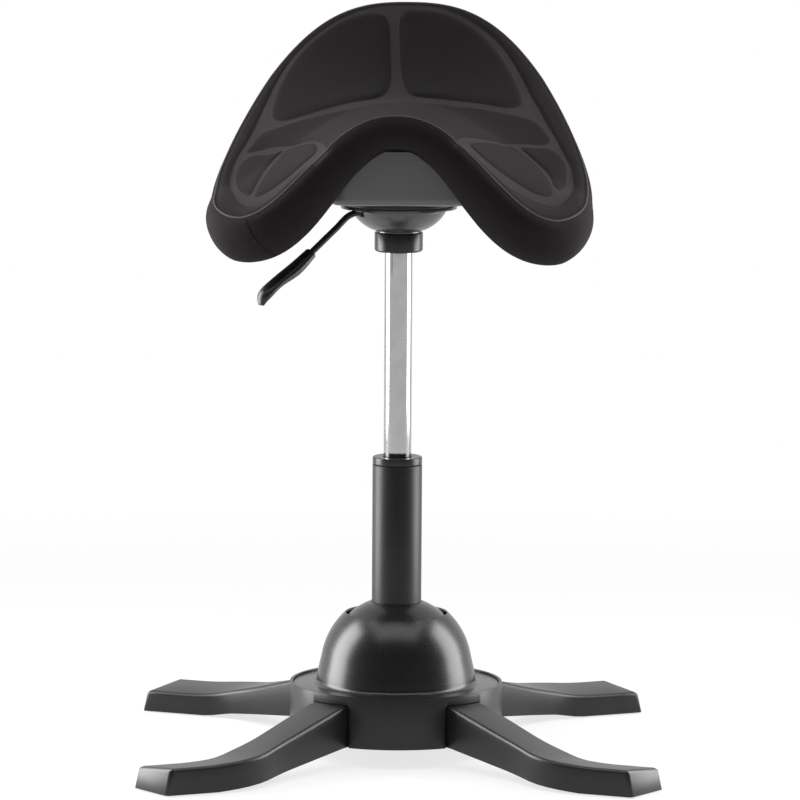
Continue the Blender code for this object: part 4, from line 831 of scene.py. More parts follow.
def makeDome():
    foot, fillet = dome["foot"], dome["fillet"]
    flare = 0.5 * (foot + dome["radius"]) + 0.0002
    rings = [(foot - dome["wall"], dome["flangeBottom"]), (dome["flangeEdge"], dome["flangeBottom"]),
             (dome["flangeEdge"], dome["flangeTop"])]
    for index in range(9):
        angle = math.radians(90.0 * index / 8.0)
        rings.append((foot + fillet * (1.0 - math.sin(angle)), dome["flangeTop"] + fillet * (1.0 - math.cos(angle))))
    rings.append((flare, dome["tilt"]))
    rings += arcRings(dome["radius"], 80.0, dome["opening"], 26, dome["tilt"])
    rings += arcRings(dome["radius"] - dome["wall"], dome["opening"] + 0.8, 80.0, 16, dome["tilt"])
    rings.append((flare - dome["wall"], dome["tilt"]))
    shell = turnPiece("domeCover", rings, 128)
    soften(shell, 0.0007, 3, 40.0)
    return finishPiece(shell, "domeNylon", "base", ["dome_cover"])


def makeCap():
    start = math.degrees(math.asin(dome["capInner"] / dome["capRadius"]))
    stop = math.degrees(math.asin(dome["capCollar"] / (dome["capRadius"] - dome["capWall"])))
    rings = arcRings(dome["capRadius"], start, dome["capEdge"], 24, dome["tilt"])
    bottom = rings[0][1] - dome["collarLength"]
    rings += arcRings(dome["capRadius"] - dome["capWall"], dome["capEdge"], stop, 18, dome["tilt"])
    rings += [(dome["capCollar"], bottom), (dome["capInner"], bottom)]
    shell = turnPiece("columnCap", rings, 128)
    soften(shell, 0.0005, 3, 40.0)
    return finishPiece(shell, "domeNylon", "column", ["column_cap"])


makeDome()
makeCap()


column = {
    "radius": 0.025, "wall": 0.002, "bottom": 0.030, "top": 0.301, "plate": 0.004, "rodHole": 0.0053,
    "bushHead": 0.0077, "bushLength": 0.055, "bore": 0.0143, "liftRadius": 0.014, "liftWall": 0.0018,
    "liftBottom": 0.242, "liftTop": 0.543, "taper": 0.040, "taperDrop": 0.0006, "liftEnd": 0.004,
}


def makeTubes():
    radius, inner = column["radius"], column["radius"] - column["wall"]
    bottom, mouth = column["bottom"], column["top"] - column["bushHead"] - 0.0003
    rings = [(column["rodHole"], bottom), (radius, bottom), (radius, mouth), (inner, mouth),
             (inner, bottom + column["plate"]), (column["rodHole"], bottom + column["plate"])]
    tube = turnPiece("outerTube", rings)
    soften(tube, 0.0006, 2, 40.0)
    finishPiece(tube, "paintedTube", "column", ["outer_tube"])
    top, sleeve = column["top"], inner - 0.0003
    head = top - column["bushHead"]
    rings = [(column["bore"], top - column["bushLength"]), (sleeve, top - column["bushLength"]), (sleeve, head),
             (radius, head), (radius, top), (column["bore"], top)]
    bush = turnPiece("tubeBush", rings)
    soften(bush, 0.0015, 5, 40.0)
    finishPiece(bush, "glossBlack", "column", ["tube_bush"])
    radius, inner = column["liftRadius"], column["liftRadius"] - column["liftWall"]
    bottom, top = column["liftBottom"], column["liftTop"]
    rings = [(inner, bottom), (radius, bottom), (radius, top - column["taper"]), (radius - column["taperDrop"], top),
             (0.0043, top), (0.0043, top - column["liftEnd"]), (inner, top - column["liftEnd"])]
    lift = turnPiece("liftTube", rings)
    soften(lift, 0.0004, 2, 40.0)
    finishPiece(lift, "satinChrome", "seat", ["lift_tube"])


makeTubes()
print("column ready")


bell = {
    "bottom": 0.509, "height": 0.0473, "wall": 0.003, "neck": 0.019, "shoulder": 0.0225, "radius": 0.0485,
    "fullness": 1.45, "flange": 0.0585, "flangeThick": 0.0033, "collarHeight": 0.0197, "collarRadius": 0.0243,
    "plate": 0.0071, "plateHole": 0.036, "bore": 0.0137, "azimuth": 215.0, "slotWidth": 0.0095,
    "leverDrop": 0.0055, "rod": 0.00325, "slotPlay": 0.0013, "lugGap": 0.0006, "lugThick": 0.004, "pivotReach": 0.034,
}
bellRim = bell["bottom"] + bell["height"]
leverLevel = bellRim - bell["leverDrop"]


def bellCurve(steps):
    low = bell["bottom"] + bell["collarHeight"]
    height = bellRim - bell["flangeThick"] - low - 0.0015
    points = [(bell["shoulder"], low), (bell["shoulder"], low + 0.0012)]
    start = bell["shoulder"] + 0.0015
    for index in range(steps + 1):
        angle = 0.5 * math.pi * index / steps
        share = math.sin(angle) ** (2.0 / bell["fullness"])
        rise = 1.0 - max(math.cos(angle), 0.0) ** (2.0 / bell["fullness"])
        points.append((start + (bell["radius"] - start) * share, low + 0.0018 + (height - 0.0003) * rise))
    return points


def setIn(points, distance):
    result = []
    for index, (radius, height) in enumerate(points):
        before, after = points[max(index - 1, 0)], points[min(index + 1, len(points) - 1)]
        heading = Vector((after[0] - before[0], after[1] - before[1])).normalized()
        result.append((radius - heading.y * distance, height + heading.x * distance))
    return result


def turnedBlock(name, low, high):  # a block in the lever's upright plane
    clearSelection()
    middle = [0.5 * (a + b) for a, b in zip(low, high)]
    bpy.ops.mesh.primitive_cube_add(size=1.0, location=middle)
    block = startPiece(name)
    bpy.ops.transform.resize(value=[b - a for a, b in zip(low, high)], center_override=middle)
    bpy.ops.object.mode_set(mode="OBJECT")
    turnTo(block, bell["azimuth"])
    return block


def makeBell():
    outer = bellCurve(20)
    floor = outer[2][1] + bell["wall"] + 0.002
    inner = [point for point in reversed(setIn(outer[2:], bell["wall"]))
             if point[1] > floor + 0.0002 and point[0] > 0.0228]
    rings = [(0.0143, bell["bottom"]), (bell["neck"], bell["bottom"]), (bell["neck"], outer[0][1])]
    rings += outer
    rings += [(bell["flange"], outer[-1][1]), (bell["flange"], bellRim), (bell["radius"] - bell["wall"], bellRim)]
    rings += inner
    rings += [(bell["shoulder"], floor), (bell["bore"], floor)]
    shell = turnPiece("liftBell", rings, 128)
    gap = bell["rod"] + bell["lugGap"]
    room = [point for point in setIn(outer[2:], 0.5 * bell["wall"]) if point[1] > floor - 0.0012]
    room = [(0.004, room[0][1])] + room + [(room[-1][0], bellRim + 0.004), (0.004, bellRim + 0.004)]
    for side in (-1.0, 1.0):
        near, far = sorted((side * gap, side * (gap + bell["lugThick"])))
        reach = bell["pivotReach"]
        lug = turnedBlock("lug", (reach - 0.0055, near, floor - 0.001), (reach + 0.0035, far, bellRim - 0.0008))
        keepWithin(lug, turnPiece("lugRoom", room, 96))
        joinWith(shell, lug)
    low = leverLevel - bell["rod"] - bell["slotPlay"]
    half = 0.5 * bell["slotWidth"]
    slotStart, slotStop = bell["radius"] - 2.6 * bell["wall"], bell["flange"] + 0.004
    cutWith(shell, turnedBlock("slot", (slotStart, -half, low), (slotStop, half, bellRim + 0.004)))
    soften(shell, 0.0005, 3, 45.0)
    return finishPiece(shell, "bellGloss", "seat", ["lift_bell"], 30.0)


def makeCollarAndPlate():
    low, high = bell["bottom"], bell["bottom"] + bell["collarHeight"] - 0.0003
    inner, outer = bell["neck"] + 0.0003, bell["collarRadius"]
    collar = turnPiece("bellCollar", [(inner, low), (outer, low), (outer, high), (inner, high)])
    takeUp(collar)
    bpy.ops.object.mode_set(mode="EDIT")
    pickEdges(collar, lambda a, b: all(end.z < low + 1e-5 and end.xy.length > outer - 1e-4 for end in (a, b)))
    bpy.ops.mesh.bevel(offset=0.0026, segments=6, affect="EDGES")
    bpy.ops.object.mode_set(mode="OBJECT")
    soften(collar, 0.0008, 3, 40.0)
    finishPiece(collar, "glossBlack", "seat", ["bell_collar"])
    bottom = bellRim + 0.0003
    top = bottom + bell["plate"]
    rings = [(bell["plateHole"], bottom), (bell["flange"], bottom), (bell["flange"], top), (bell["plateHole"], top)]
    plate = turnPiece("mountPlate", rings, 128)
    soften(plate, 0.0008, 3, 40.0)
    finishPiece(plate, "paintedTube", "seat", ["mount_plate"])


makeBell()
makeCollarAndPlate()
print("bell ready")


lever = {
    "tip": 0.001, "straight": 0.0536, "knee": 0.0751, "kneeDrop": 0.0126, "rodDepth": 0.015,
    "gripReach": 0.1073, "gripDrop": 0.0365, "gripRun": 0.0606, "gripFall": 0.0487,
    "gripThick": 0.0070, "gripWide": 0.0088,
    "bends": ((0.0, 0.0), (0.315, 0.302), (0.678, 0.556), (0.929, 0.797), (1.0, 1.0)),
    "swells": ((0.79, 0.74), (1.0, 0.93), (0.80, 1.0), (0.83, 0.97), (0.31, 0.45)),
}


def onSpan(before, start, stop, after, t):
    return 0.5 * (2.0 * start + (stop - before) * t + (2.0 * before - 5.0 * start + 4.0 * stop - after) * t ** 2
                  + (3.0 * start - before - 3.0 * stop + after) * t ** 3)


def flowing(points, perSpan):
    points = [Vector(point) for point in points]
    result = []
    for index in range(len(points) - 1):
        before, start = points[max(index - 1, 0)], points[index]
        stop, after = points[index + 1], points[min(index + 2, len(points) - 1)]
        for step in range(perSpan):
            result.append(onSpan(before, start, stop, after, step / perSpan))
    result.append(points[-1])
    return result


def leverBar(name, route, sizes, segments):  # drawn along X, then turned to the lever's heading
    clearSelection()
    headings = []
    for index in range(len(route)):
        step = route[min(index + 1, len(route) - 1)] - route[max(index - 1, 0)]
        headings.append(math.atan2(step.y, step.x))
    start = route[0]
    bpy.ops.mesh.primitive_circle_add(
        vertices=segments, radius=1.0, fill_type="NGON", location=(start.x, 0.0, start.y),
        rotation=(0.0, math.radians(90.0) - headings[0], 0.0),
    )
    bar = startPiece(name)
    thick, wide = sizes[0]
    bpy.ops.transform.resize(value=(thick, wide, thick), center_override=(start.x, 0.0, start.y))
    for index in range(1, len(route)):
        here, before = route[index], route[index - 1]
        step = (here.x - before.x, 0.0, here.y - before.y)
        bpy.ops.mesh.extrude_region_move(TRANSFORM_OT_translate={"value": step})
        centre = (here.x, 0.0, here.y)
        turn = headings[index] - headings[index - 1]
        if abs(turn) > 1e-6:
            bpy.ops.transform.rotate(value=turn, orient_axis="Y", orient_type="GLOBAL", center_override=centre)
        thick, wide = sizes[index][0] / sizes[index - 1][0], sizes[index][1] / sizes[index - 1][1]
        bpy.ops.transform.resize(value=(thick, wide, thick), center_override=centre)
    closeEdit()
    turnTo(bar, bell["azimuth"])
    return bar


def makeLever():
    bend = [(lever["straight"], leverLevel), (lever["straight"] + 0.0064, leverLevel - 0.0018),
            (lever["straight"] + 0.0126, leverLevel - 0.0052), (lever["knee"], leverLevel - lever["kneeDrop"])]
    gripStart = Vector((lever["gripReach"], leverLevel - lever["gripDrop"]))
    heading = (gripStart - Vector(bend[-1])).normalized()
    route = [Vector((lever["tip"], leverLevel)), Vector((bell["pivotReach"], leverLevel))]
    route += flowing(bend, 5)
    route.append(gripStart + heading * lever["rodDepth"])
    rod = leverBar("leverRod", route, [(bell["rod"], bell["rod"])] * len(route), 32)
    soften(rod, 0.0004, 2, 50.0)
    finishPiece(rod, "paintedTube", "lever", ["lever_rod"])
    run, fall = lever["gripRun"], lever["gripFall"]
    path = flowing([gripStart + Vector((along * run, -down * fall)) for along, down in lever["bends"]], 6)
    girth = flowing([(thick * lever["gripThick"], wide * lever["gripWide"]) for thick, wide in lever["swells"]], 6)
    grip = leverBar("leverGrip", path, [tuple(pair) for pair in girth], 32)
    soften(grip, 0.0012, 4, 45.0)
    finishPiece(grip, "blackNylon", "lever", ["lever_grip"])


makeLever()
print("lever ready")


pan = {
    "halfWidth": 0.072, "front": 0.095, "rear": 0.110, "corner": 0.020, "edge": 0.008, "wall": 0.0025, "draft": 0.004,
    "ceiling": 0.743, "slotAt": -0.007, "slotRise": 0.0575, "slotSize": (0.040, 0.020, 0.0060), "slotRound": 0.0028,
}
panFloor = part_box("seat_pan")[0].z


def plainCopy(nodeName, name):  # a CAD node's shape as a piece of its own, its points merged
    piece = nodes[nodeName].copy()
    piece.data = nodes[nodeName].data.copy()
    piece.name = name
    piece.data.name = name
    piece.parent = None
    for key in list(piece.keys()):
        del piece[key]
    bpy.context.scene.collection.objects.link(piece)
    takeUp(piece)
    bpy.ops.object.mode_set(mode="EDIT")
    bpy.ops.mesh.select_all(action="SELECT")
    bpy.ops.mesh.remove_doubles(threshold=0.00001)
    bpy.ops.object.mode_set(mode="OBJECT")
    return piece


def boardCutter():  # everything over the board's underside
    piece = plainCopy("seat_board", "overBoard")
    bpy.ops.object.mode_set(mode="EDIT")
    mesh = bmesh.from_edit_mesh(piece.data)
    mesh.normal_update()
    for face in mesh.faces:
        face.select_set(face.normal.z > -0.35)
    bmesh.update_edit_mesh(piece.data)
    bpy.ops.mesh.delete(type="FACE")
    bpy.ops.mesh.select_all(action="SELECT")
    bpy.ops.transform.translate(value=(0.0, 0.0, -0.0003))
    bpy.ops.mesh.extrude_region_move(TRANSFORM_OT_translate={"value": (0.0, 0.0, 0.25)})
    closeEdit()
    return piece


def makePan():
    clearSelection()
    length = pan["front"] + pan["rear"]
    middle = (0.0, 0.5 * (pan["rear"] - pan["front"]), 0.5 * (panFloor + pan["ceiling"]))
    bpy.ops.mesh.primitive_cube_add(size=1.0, location=middle)
    tray = startPiece("seatPan")
    size = (2.0 * pan["halfWidth"], length, pan["ceiling"] - panFloor)
    bpy.ops.transform.resize(value=size, center_override=middle)
    pickPoints(tray, lambda co: co.z > middle[2])
    wider = (pan["halfWidth"] + pan["draft"]) / pan["halfWidth"]
    longer = (0.5 * length + pan["draft"]) / (0.5 * length)
    bpy.ops.transform.resize(value=(wider, longer, 1.0), center_override=middle)
    pickEdges(tray, lambda a, b: abs(a.z - b.z) > 0.05)
    bpy.ops.mesh.bevel(offset=pan["corner"], segments=12, affect="EDGES")
    pickEdges(tray, lambda a, b: a.z < panFloor + 1e-5 and b.z < panFloor + 1e-5)
    bpy.ops.mesh.bevel(offset=pan["edge"], segments=8, affect="EDGES")
    pickPoints(tray, lambda co: co.z > pan["ceiling"] - 1e-5)
    bpy.ops.mesh.delete(type="ONLY_FACE")
    closeEdit()
    applyModifier(tray, "SOLIDIFY", thickness=pan["wall"], offset=-1.0, use_even_offset=True)
    cutWith(tray, boardCutter())
    clearSelection()
    slot = (pan["slotAt"], -pan["front"], panFloor + pan["slotRise"])
    bpy.ops.mesh.primitive_cube_add(size=1.0, location=slot)
    notch = startPiece("notch")
    bpy.ops.transform.resize(value=pan["slotSize"], center_override=slot)
    pickEdges(notch, lambda start, stop: abs(start.y - stop.y) > 0.015)
    bpy.ops.mesh.bevel(offset=pan["slotRound"], segments=6, affect="EDGES")
    bpy.ops.object.mode_set(mode="OBJECT")
    cutWith(tray, notch)
    return finishPiece(tray, "greyPan", "seat", ["seat_pan"], 25.0)


makePan()
print("pan ready")


def makeBoard():
    board = plainCopy("seat_board", "seatBoard")
    return finishPiece(board, "plywood", "seat", ["seat_board"], 40.0)


makeBoard()


saddle = {
    "crest": panFloor + 0.0938, "cantleRise": 0.0853, "cantleStart": 0.0096, "cantleRun": 0.1766, "cantlePower": 1.65,
    "archDrop": 0.0925, "frontDrop": 0.7915, "archWidth": 0.1982, "archFlare": 0.2437, "archPower": 1.18,
    "rearPower": 1.79,
    "halfWidth": 0.1858, "front": 0.150, "rear": 0.169, "frontFullness": 4.1, "rearFullness": 2.31,
    "foam": 0.0251, "flapPadding": 0.0175, "board": 0.0083, "bulge": 0.0082, "draw": 0.018, "pocket": 0.866,
    "steps": 216, "sideRows": (0.08, 0.18, 0.29, 0.40, 0.52, 0.64, 0.76, 0.88, 0.97),
    "turned": -2.9,         # degrees, as the seat stands in the photograph
    "slid": 0.0025,
}


def archFall(x, y):
    power = saddle["archPower"] + saddle["rearPower"] * np.maximum(y, 0.0)
    share = np.minimum(np.abs(x) / (saddle["archWidth"] + saddle["archFlare"] * y), 1.0) ** power
    return share * share * (3.0 - 2.0 * share)


def saddleLevel(x, y):
    rise = np.maximum((y + saddle["cantleStart"]) / saddle["cantleRun"], 0.0) ** saddle["cantlePower"]
    drop = saddle["archDrop"] + saddle["frontDrop"] * np.maximum(-y, 0.0) ** 2
    return saddle["crest"] + saddle["cantleRise"] * rise - drop * archFall(x, y)


def saddleNormal(x, y):
    step = 0.0005
    slopeX = (saddleLevel(x + step, y) - saddleLevel(x - step, y)) / (2.0 * step)
    slopeY = (saddleLevel(x, y + step) - saddleLevel(x, y - step)) / (2.0 * step)
    normal = np.stack([-slopeX, -slopeY, np.ones_like(slopeX)], axis=-1)
    return normal / np.linalg.norm(normal, axis=-1, keepdims=True)


def underSaddle(x, y, depth):
    padding = saddle["flapPadding"] * archFall(x, y) * np.minimum(depth / saddle["foam"], 1.0)
    top = np.stack([x, y, saddleLevel(x, y)], axis=-1)
    return top - saddleNormal(x, y) * (depth + padding)[..., None]


def seatOutline(count):  # plan points of the seam, anticlockwise from the front
    half = 0.5 * (saddle["front"] + saddle["rear"])
    centre = 0.5 * (saddle["rear"] - saddle["front"])
    angle = np.linspace(-0.5 * np.pi, 0.5 * np.pi, 2401)
    power = np.where(angle < 0.0, 2.0 / saddle["frontFullness"], 2.0 / saddle["rearFullness"])
    across = saddle["halfWidth"] * np.maximum(np.cos(angle), 0.0) ** power
    along = centre + np.sign(angle) * half * np.abs(np.sin(angle)) ** power
    length = np.concatenate([[0.0], np.cumsum(np.hypot(np.diff(across), np.diff(along)))])
    even = np.linspace(0.0, length[-1], count // 2 + 1)
    right = np.stack([np.interp(even, length, across), np.interp(even, length, along)], axis=1)
    left = right[1:-1][::-1] * np.array([-1.0, 1.0])
    return np.concatenate([right, left])


def squareChart(outline):  # lays a square grid inside the outline, evened out from its edge
    side = len(outline) // 4
    grid = np.zeros((side + 1, side + 1, 2))
    walk = [(index, 0) for index in range(side // 2, side)] + [(side, index) for index in range(side)]
    walk += [(side - index, side) for index in range(side)] + [(0, side - index) for index in range(side)]
    walk += [(index, 0) for index in range(side // 2)]
    for (column, row), place in zip(walk, outline):
        grid[column, row] = place
    share = np.linspace(0.0, 1.0, side + 1)
    for row in range(1, side):
        grid[1:side, row] = grid[0, row] + share[1:side, None] * (grid[side, row] - grid[0, row])
    for turn in range(600):
        grid[1:-1, 1:-1] = 0.25 * (grid[2:, 1:-1] + grid[:-2, 1:-1] + grid[1:-1, 2:] + grid[1:-1, :-2])
    return grid, walk


def sideSwell(share):
    return saddle["bulge"] * math.sin(math.pi * share ** 0.65) ** 0.8 - saddle["draw"] * share ** 3


def cushionShell():  # the upholstered foam: crowned top, bulging sides, the cover drawn under the board's edge
    outline = seatOutline(saddle["steps"])
    centre = np.array([0.0, 0.5 * (saddle["rear"] - saddle["front"])])
    ahead = np.roll(outline, -1, axis=0) - np.roll(outline, 1, axis=0)
    ahead /= np.linalg.norm(ahead, axis=1, keepdims=True)
    outward = np.stack([ahead[:, 1], -ahead[:, 0], np.zeros(len(ahead))], axis=1)
    full = saddle["foam"] + saddle["board"]
    grid, walk = squareChart(outline)
    size = grid.shape[0]
    mesh = bmesh.new()

    def layGrid(scale, depth, upward):
        flat = centre + (grid - centre) * scale
        points = underSaddle(flat[..., 0], flat[..., 1], np.full(flat.shape[:2], depth))
        verts = [[mesh.verts.new(points[column, row]) for row in range(size)] for column in range(size)]
        for column in range(size - 1):
            for row in range(size - 1):
                near, far = verts[column], verts[column + 1]
                corners = [near[row], far[row], far[row + 1], near[row + 1]]
                mesh.faces.new(corners if upward else corners[::-1])
        return [verts[column][row] for column, row in walk]

    rings = [layGrid(1.0, 0.0, True)]
    for share in saddle["sideRows"]:
        side = underSaddle(outline[:, 0], outline[:, 1], np.full(len(outline), share * full))
        rings.append([mesh.verts.new(place) for place in side + outward * sideSwell(share)])
    pocket = saddle["pocket"]
    for scale, depth in ((0.925, full), (0.895, full), (pocket, full), (pocket, 0.5 * (full + saddle["foam"]))):
        flat = centre + (outline - centre) * scale
        places = underSaddle(flat[:, 0], flat[:, 1], np.full(len(flat), depth))
        rings.append([mesh.verts.new(place) for place in places])
    rings.append(layGrid(saddle["pocket"], saddle["foam"], False))
    count = len(outline)
    for ring, following in zip(rings, rings[1:]):
        for index in range(count):
            after = (index + 1) % count
            mesh.faces.new((ring[index], following[index], following[after], ring[after]))
    bmesh.ops.recalc_face_normals(mesh, faces=mesh.faces)
    data = bpy.data.meshes.new("seatCushion")
    mesh.to_mesh(data)
    mesh.free()
    return addObject("seatCushion", data)


# Plan outlines of the padded panels in millimetres, as the cover is sewn
panels = {
    "rearLeft": (
        (-27, 155), (-21, 148), (-18, 135), (-16, 107), (-14, 75), (-14, 51), (-18, 31), (-29, 20),
        (-58, 28), (-89, 42), (-116, 57), (-129, 70), (-134, 83), (-133, 97), (-129, 110), (-119, 126),
        (-104, 139), (-84, 148), (-63, 155), (-43, 157)
    ),
    "rearRight": (
        (-1, 159), (-6, 154), (-8, 143), (-6, 107), (-3, 70), (2, 42), (11, 23), (29, 23), (55, 34),
        (80, 50), (100, 63), (113, 76), (118, 86), (116, 98), (107, 113), (96, 126), (78, 141), (54, 152),
        (33, 158), (12, 160)
    ),
    "outerWingLeft": (
        (-120, 8), (-132, 18), (-145, 33), (-155, 41), (-162, 40), (-166, 28), (-166, 7), (-161, -32),
        (-152, -66), (-147, -72), (-141, -44), (-136, -18), (-128, 1)
    ),
    "innerWingLeft": (
        (-142, -86), (-138, -95), (-130, -102), (-118, -108), (-105, -113), (-95, -115), (-86, -117),
        (-80, -112), (-84, -72), (-96, -34), (-108, -5), (-114, 0), (-123, -6), (-132, -31), (-138, -55)
    ),
    "outerWingRight": (
        (119, 18), (133, 35), (146, 49), (154, 52), (161, 47), (164, 34), (164, 12), (162, -11), (158, -26),
        (153, -22), (147, 3), (137, 10), (128, 13)
    ),
    "innerWingRight": (
        (71, -112), (83, -63), (97, -22), (110, 5), (120, 8), (130, 7), (140, 1), (147, -12), (151, -35),
        (151, -60), (145, -75), (132, -89), (121, -96), (108, -105), (95, -113), (82, -118)
    ),
    "middle": (
        (12, 0), (39, 12), (55, 22), (78, 39), (100, 54), (118, 66), (131, 73), (139, 72), (146, 67),
        (147, 62), (143, 53), (133, 41), (122, 29), (109, 11), (96, -14), (83, -47), (73, -74), (66, -98),
        (61, -120), (58, -150), (56, -200), (-64, -200), (-68, -150), (-72, -118), (-78, -85), (-87, -49),
        (-100, -14), (-116, 12), (-132, 31), (-146, 42), (-156, 50), (-158, 54), (-153, 59), (-147, 64),
        (-139, 63), (-126, 56), (-107, 45), (-88, 32), (-68, 20), (-42, 4), (-16, -1)
    ),
}
bandOutline = (
    (-9, 166), (-30, 165), (-53, 161), (-79, 153), (-104, 143), (-122, 131), (-134, 116), (-141, 103),
    (-146, 93), (-152, 80), (-158, 69), (-164, 60), (-169, 50), (-172, 35), (-173, 13), (-168, -29),
    (-161, -71), (-151, -100), (-140, -116), (-131, -123), (-119, -128), (-107, -129), (-97, -131),
    (-89, -137), (-83, -148), (-79, -168), (-77, -200), (54, -200), (57, -166), (63, -149), (72, -141),
    (83, -138), (96, -133), (109, -126), (122, -115), (135, -105), (148, -92), (160, -74), (167, -45),
    (172, 5), (171, 28), (168, 46), (161, 58), (154, 70), (145, 80), (137, 91), (128, 101), (115, 119),
    (99, 136), (77, 149), (51, 159), (25, 165)
)
relief = {
    "fullness": 0.0010,     # makes up for what the subdivision rounds off
    "padCrown": 0.0026,
    "panelCrown": 0.0008,
    "borderCrown": 0.0012,
    "press": 0.0010,        # how far the bands are pressed in
    "edgeReach": 0.0030,    # how soon a pad rises from its edge
}


def closedCurve(points, perSpan=6):
    points = [np.array(point, float) * 0.001 for point in points]
    result = []
    for index in range(len(points)):
        before, start = points[index - 1], points[index]
        stop, after = points[(index + 1) % len(points)], points[(index + 2) % len(points)]
        for step in range(perSpan):
            result.append(onSpan(before, start, stop, after, step / perSpan))
    return np.array(result)


def signedGap(places, loop):  # distance to a closed line, positive inside it
    ends = np.roll(loop, -1, axis=0)
    nearest = np.full(len(places), 1.0)
    inside = np.zeros(len(places), bool)
    for first, last in zip(loop, ends):
        span = last - first
        share = np.clip(((places - first) @ span) / max(span @ span, 1e-12), 0.0, 1.0)
        nearest = np.minimum(nearest, np.hypot(*(places - first - share[:, None] * span).T))
        crosses = (first[1] > places[:, 1]) != (last[1] > places[:, 1])
        at = first[0] + (places[:, 1] - first[1]) * (span[0] / (span[1] if abs(span[1]) > 1e-12 else 1e-12))
        inside ^= crosses & (places[:, 0] < at)
    return np.where(inside, nearest, -nearest)


def layFlat(points):  # plan place and depth of each point on the saddle's own surface
    x, y = points[:, 0].copy(), points[:, 1].copy()
    for turn in range(8):
        x = np.clip(x, -0.21, 0.21)
        y = np.clip(y, -0.19, 0.20)
        normal = saddleNormal(x, y)
        top = np.stack([x, y, saddleLevel(x, y)], axis=1)
        away = points - top
        depth = -(away * normal).sum(1)
        slide = away + normal * depth[:, None]
        x += slide[:, 0] * 0.9
        y += slide[:, 1] * 0.9
    return np.stack([x, y], axis=1), depth


def gapsOf(places):
    gaps = {name: signedGap(places, closedCurve(loop)) for name, loop in panels.items()}
    pads = np.maximum(gaps["rearLeft"], gaps["rearRight"])
    wings = np.full(len(places), -1.0)
    for name in ("outerWingLeft", "innerWingLeft", "outerWingRight", "innerWingRight", "middle"):
        wings = np.maximum(wings, gaps[name])
    border = -signedGap(places, closedCurve(bandOutline))
    return pads, wings, border


def meshPoints(piece):
    flat = np.zeros(len(piece.data.vertices) * 3)
    piece.data.vertices.foreach_get("co", flat)
    return flat.reshape(-1, 3)


def setPoints(piece, points):
    piece.data.vertices.foreach_set("co", points.reshape(-1))
    piece.data.update()


def pointNormals(piece):
    flat = np.zeros(len(piece.data.vertices) * 3)
    piece.data.vertices.foreach_get("normal", flat)
    return flat.reshape(-1, 3)


def addMark(piece, name, values):
    layer = piece.data.attributes.new(name, "FLOAT", "POINT")
    layer.data.foreach_set("value", values.astype(np.float32))


swelling = {"pressure": 4.0, "frames": 20, "cap": 0.0030, "calmed": 10}


def swell(piece):  # the stitched lines are held, the foam between them puffs up
    rest = meshPoints(piece)
    places, depth = layFlat(rest)
    pads, wings, border = gapsOf(places)
    seam = np.abs(signedGap(places, seatOutline(240)))
    free = np.clip(np.maximum(np.maximum(pads, wings), np.where(depth < 0.004, border, -1.0)) / 0.004, 0.0, 1.0)
    side = (depth > 0.003) & (depth < 0.030)
    free = np.where(side, 0.6, free)
    free = np.where((seam < 0.0035) & (depth < 0.004), 0.0, free)
    free = np.where(depth > 0.030, 0.0, free)
    held = piece.vertex_groups.new(name="held")
    for index, value in enumerate(1.0 - free):
        held.add([index], float(value), "REPLACE")
    takeUp(piece)
    modifier = piece.modifiers.new("swell", "CLOTH")
    settings = modifier.settings
    settings.quality = 6
    settings.mass = 0.3
    settings.tension_stiffness = 12.0
    settings.compression_stiffness = 12.0
    settings.shear_stiffness = 6.0
    settings.bending_stiffness = 1.5
    settings.use_pressure = True
    settings.uniform_pressure_force = swelling["pressure"]
    settings.vertex_group_mass = "held"
    settings.effector_weights.gravity = 0.0
    modifier.collision_settings.use_collision = False
    modifier.collision_settings.use_self_collision = False
    scene = bpy.context.scene
    for step in range(1, swelling["frames"] + 1):
        scene.frame_set(step)
    bpy.ops.object.modifier_apply(modifier=modifier.name)
    moved = meshPoints(piece) - rest
    edges = np.zeros(len(piece.data.edges) * 2, int)
    piece.data.edges.foreach_get("vertices", edges)
    edges = edges.reshape(-1, 2)
    meets = np.maximum(np.bincount(edges.ravel(), minlength=len(rest)), 1)[:, None]
    for turn in range(swelling["calmed"]):
        around = np.zeros_like(moved)
        np.add.at(around, edges[:, 0], moved[edges[:, 1]])
        np.add.at(around, edges[:, 1], moved[edges[:, 0]])
        moved = 0.5 * (moved + around / meets)
    reach = np.linalg.norm(moved, axis=1, keepdims=True)
    print("cushion swelled by up to", round(float(reach.max()) * 1000.0, 2), "mm before its cap")
    moved *= np.minimum(1.0, swelling["cap"] / np.maximum(reach, 1e-9))
    setPoints(piece, rest + moved)
    scene.frame_set(1)
    piece.vertex_groups.clear()


def outlineShare(places):  # 1 on the seam, 0 at the middle of the seat
    half = 0.5 * (saddle["front"] + saddle["rear"])
    centre = 0.5 * (saddle["rear"] - saddle["front"])
    power = np.where(places[:, 1] < centre, saddle["frontFullness"], saddle["rearFullness"])
    across = np.abs(places[:, 0] / saddle["halfWidth"]) ** power
    return (across + np.abs((places[:, 1] - centre) / half) ** power) ** (1.0 / power)


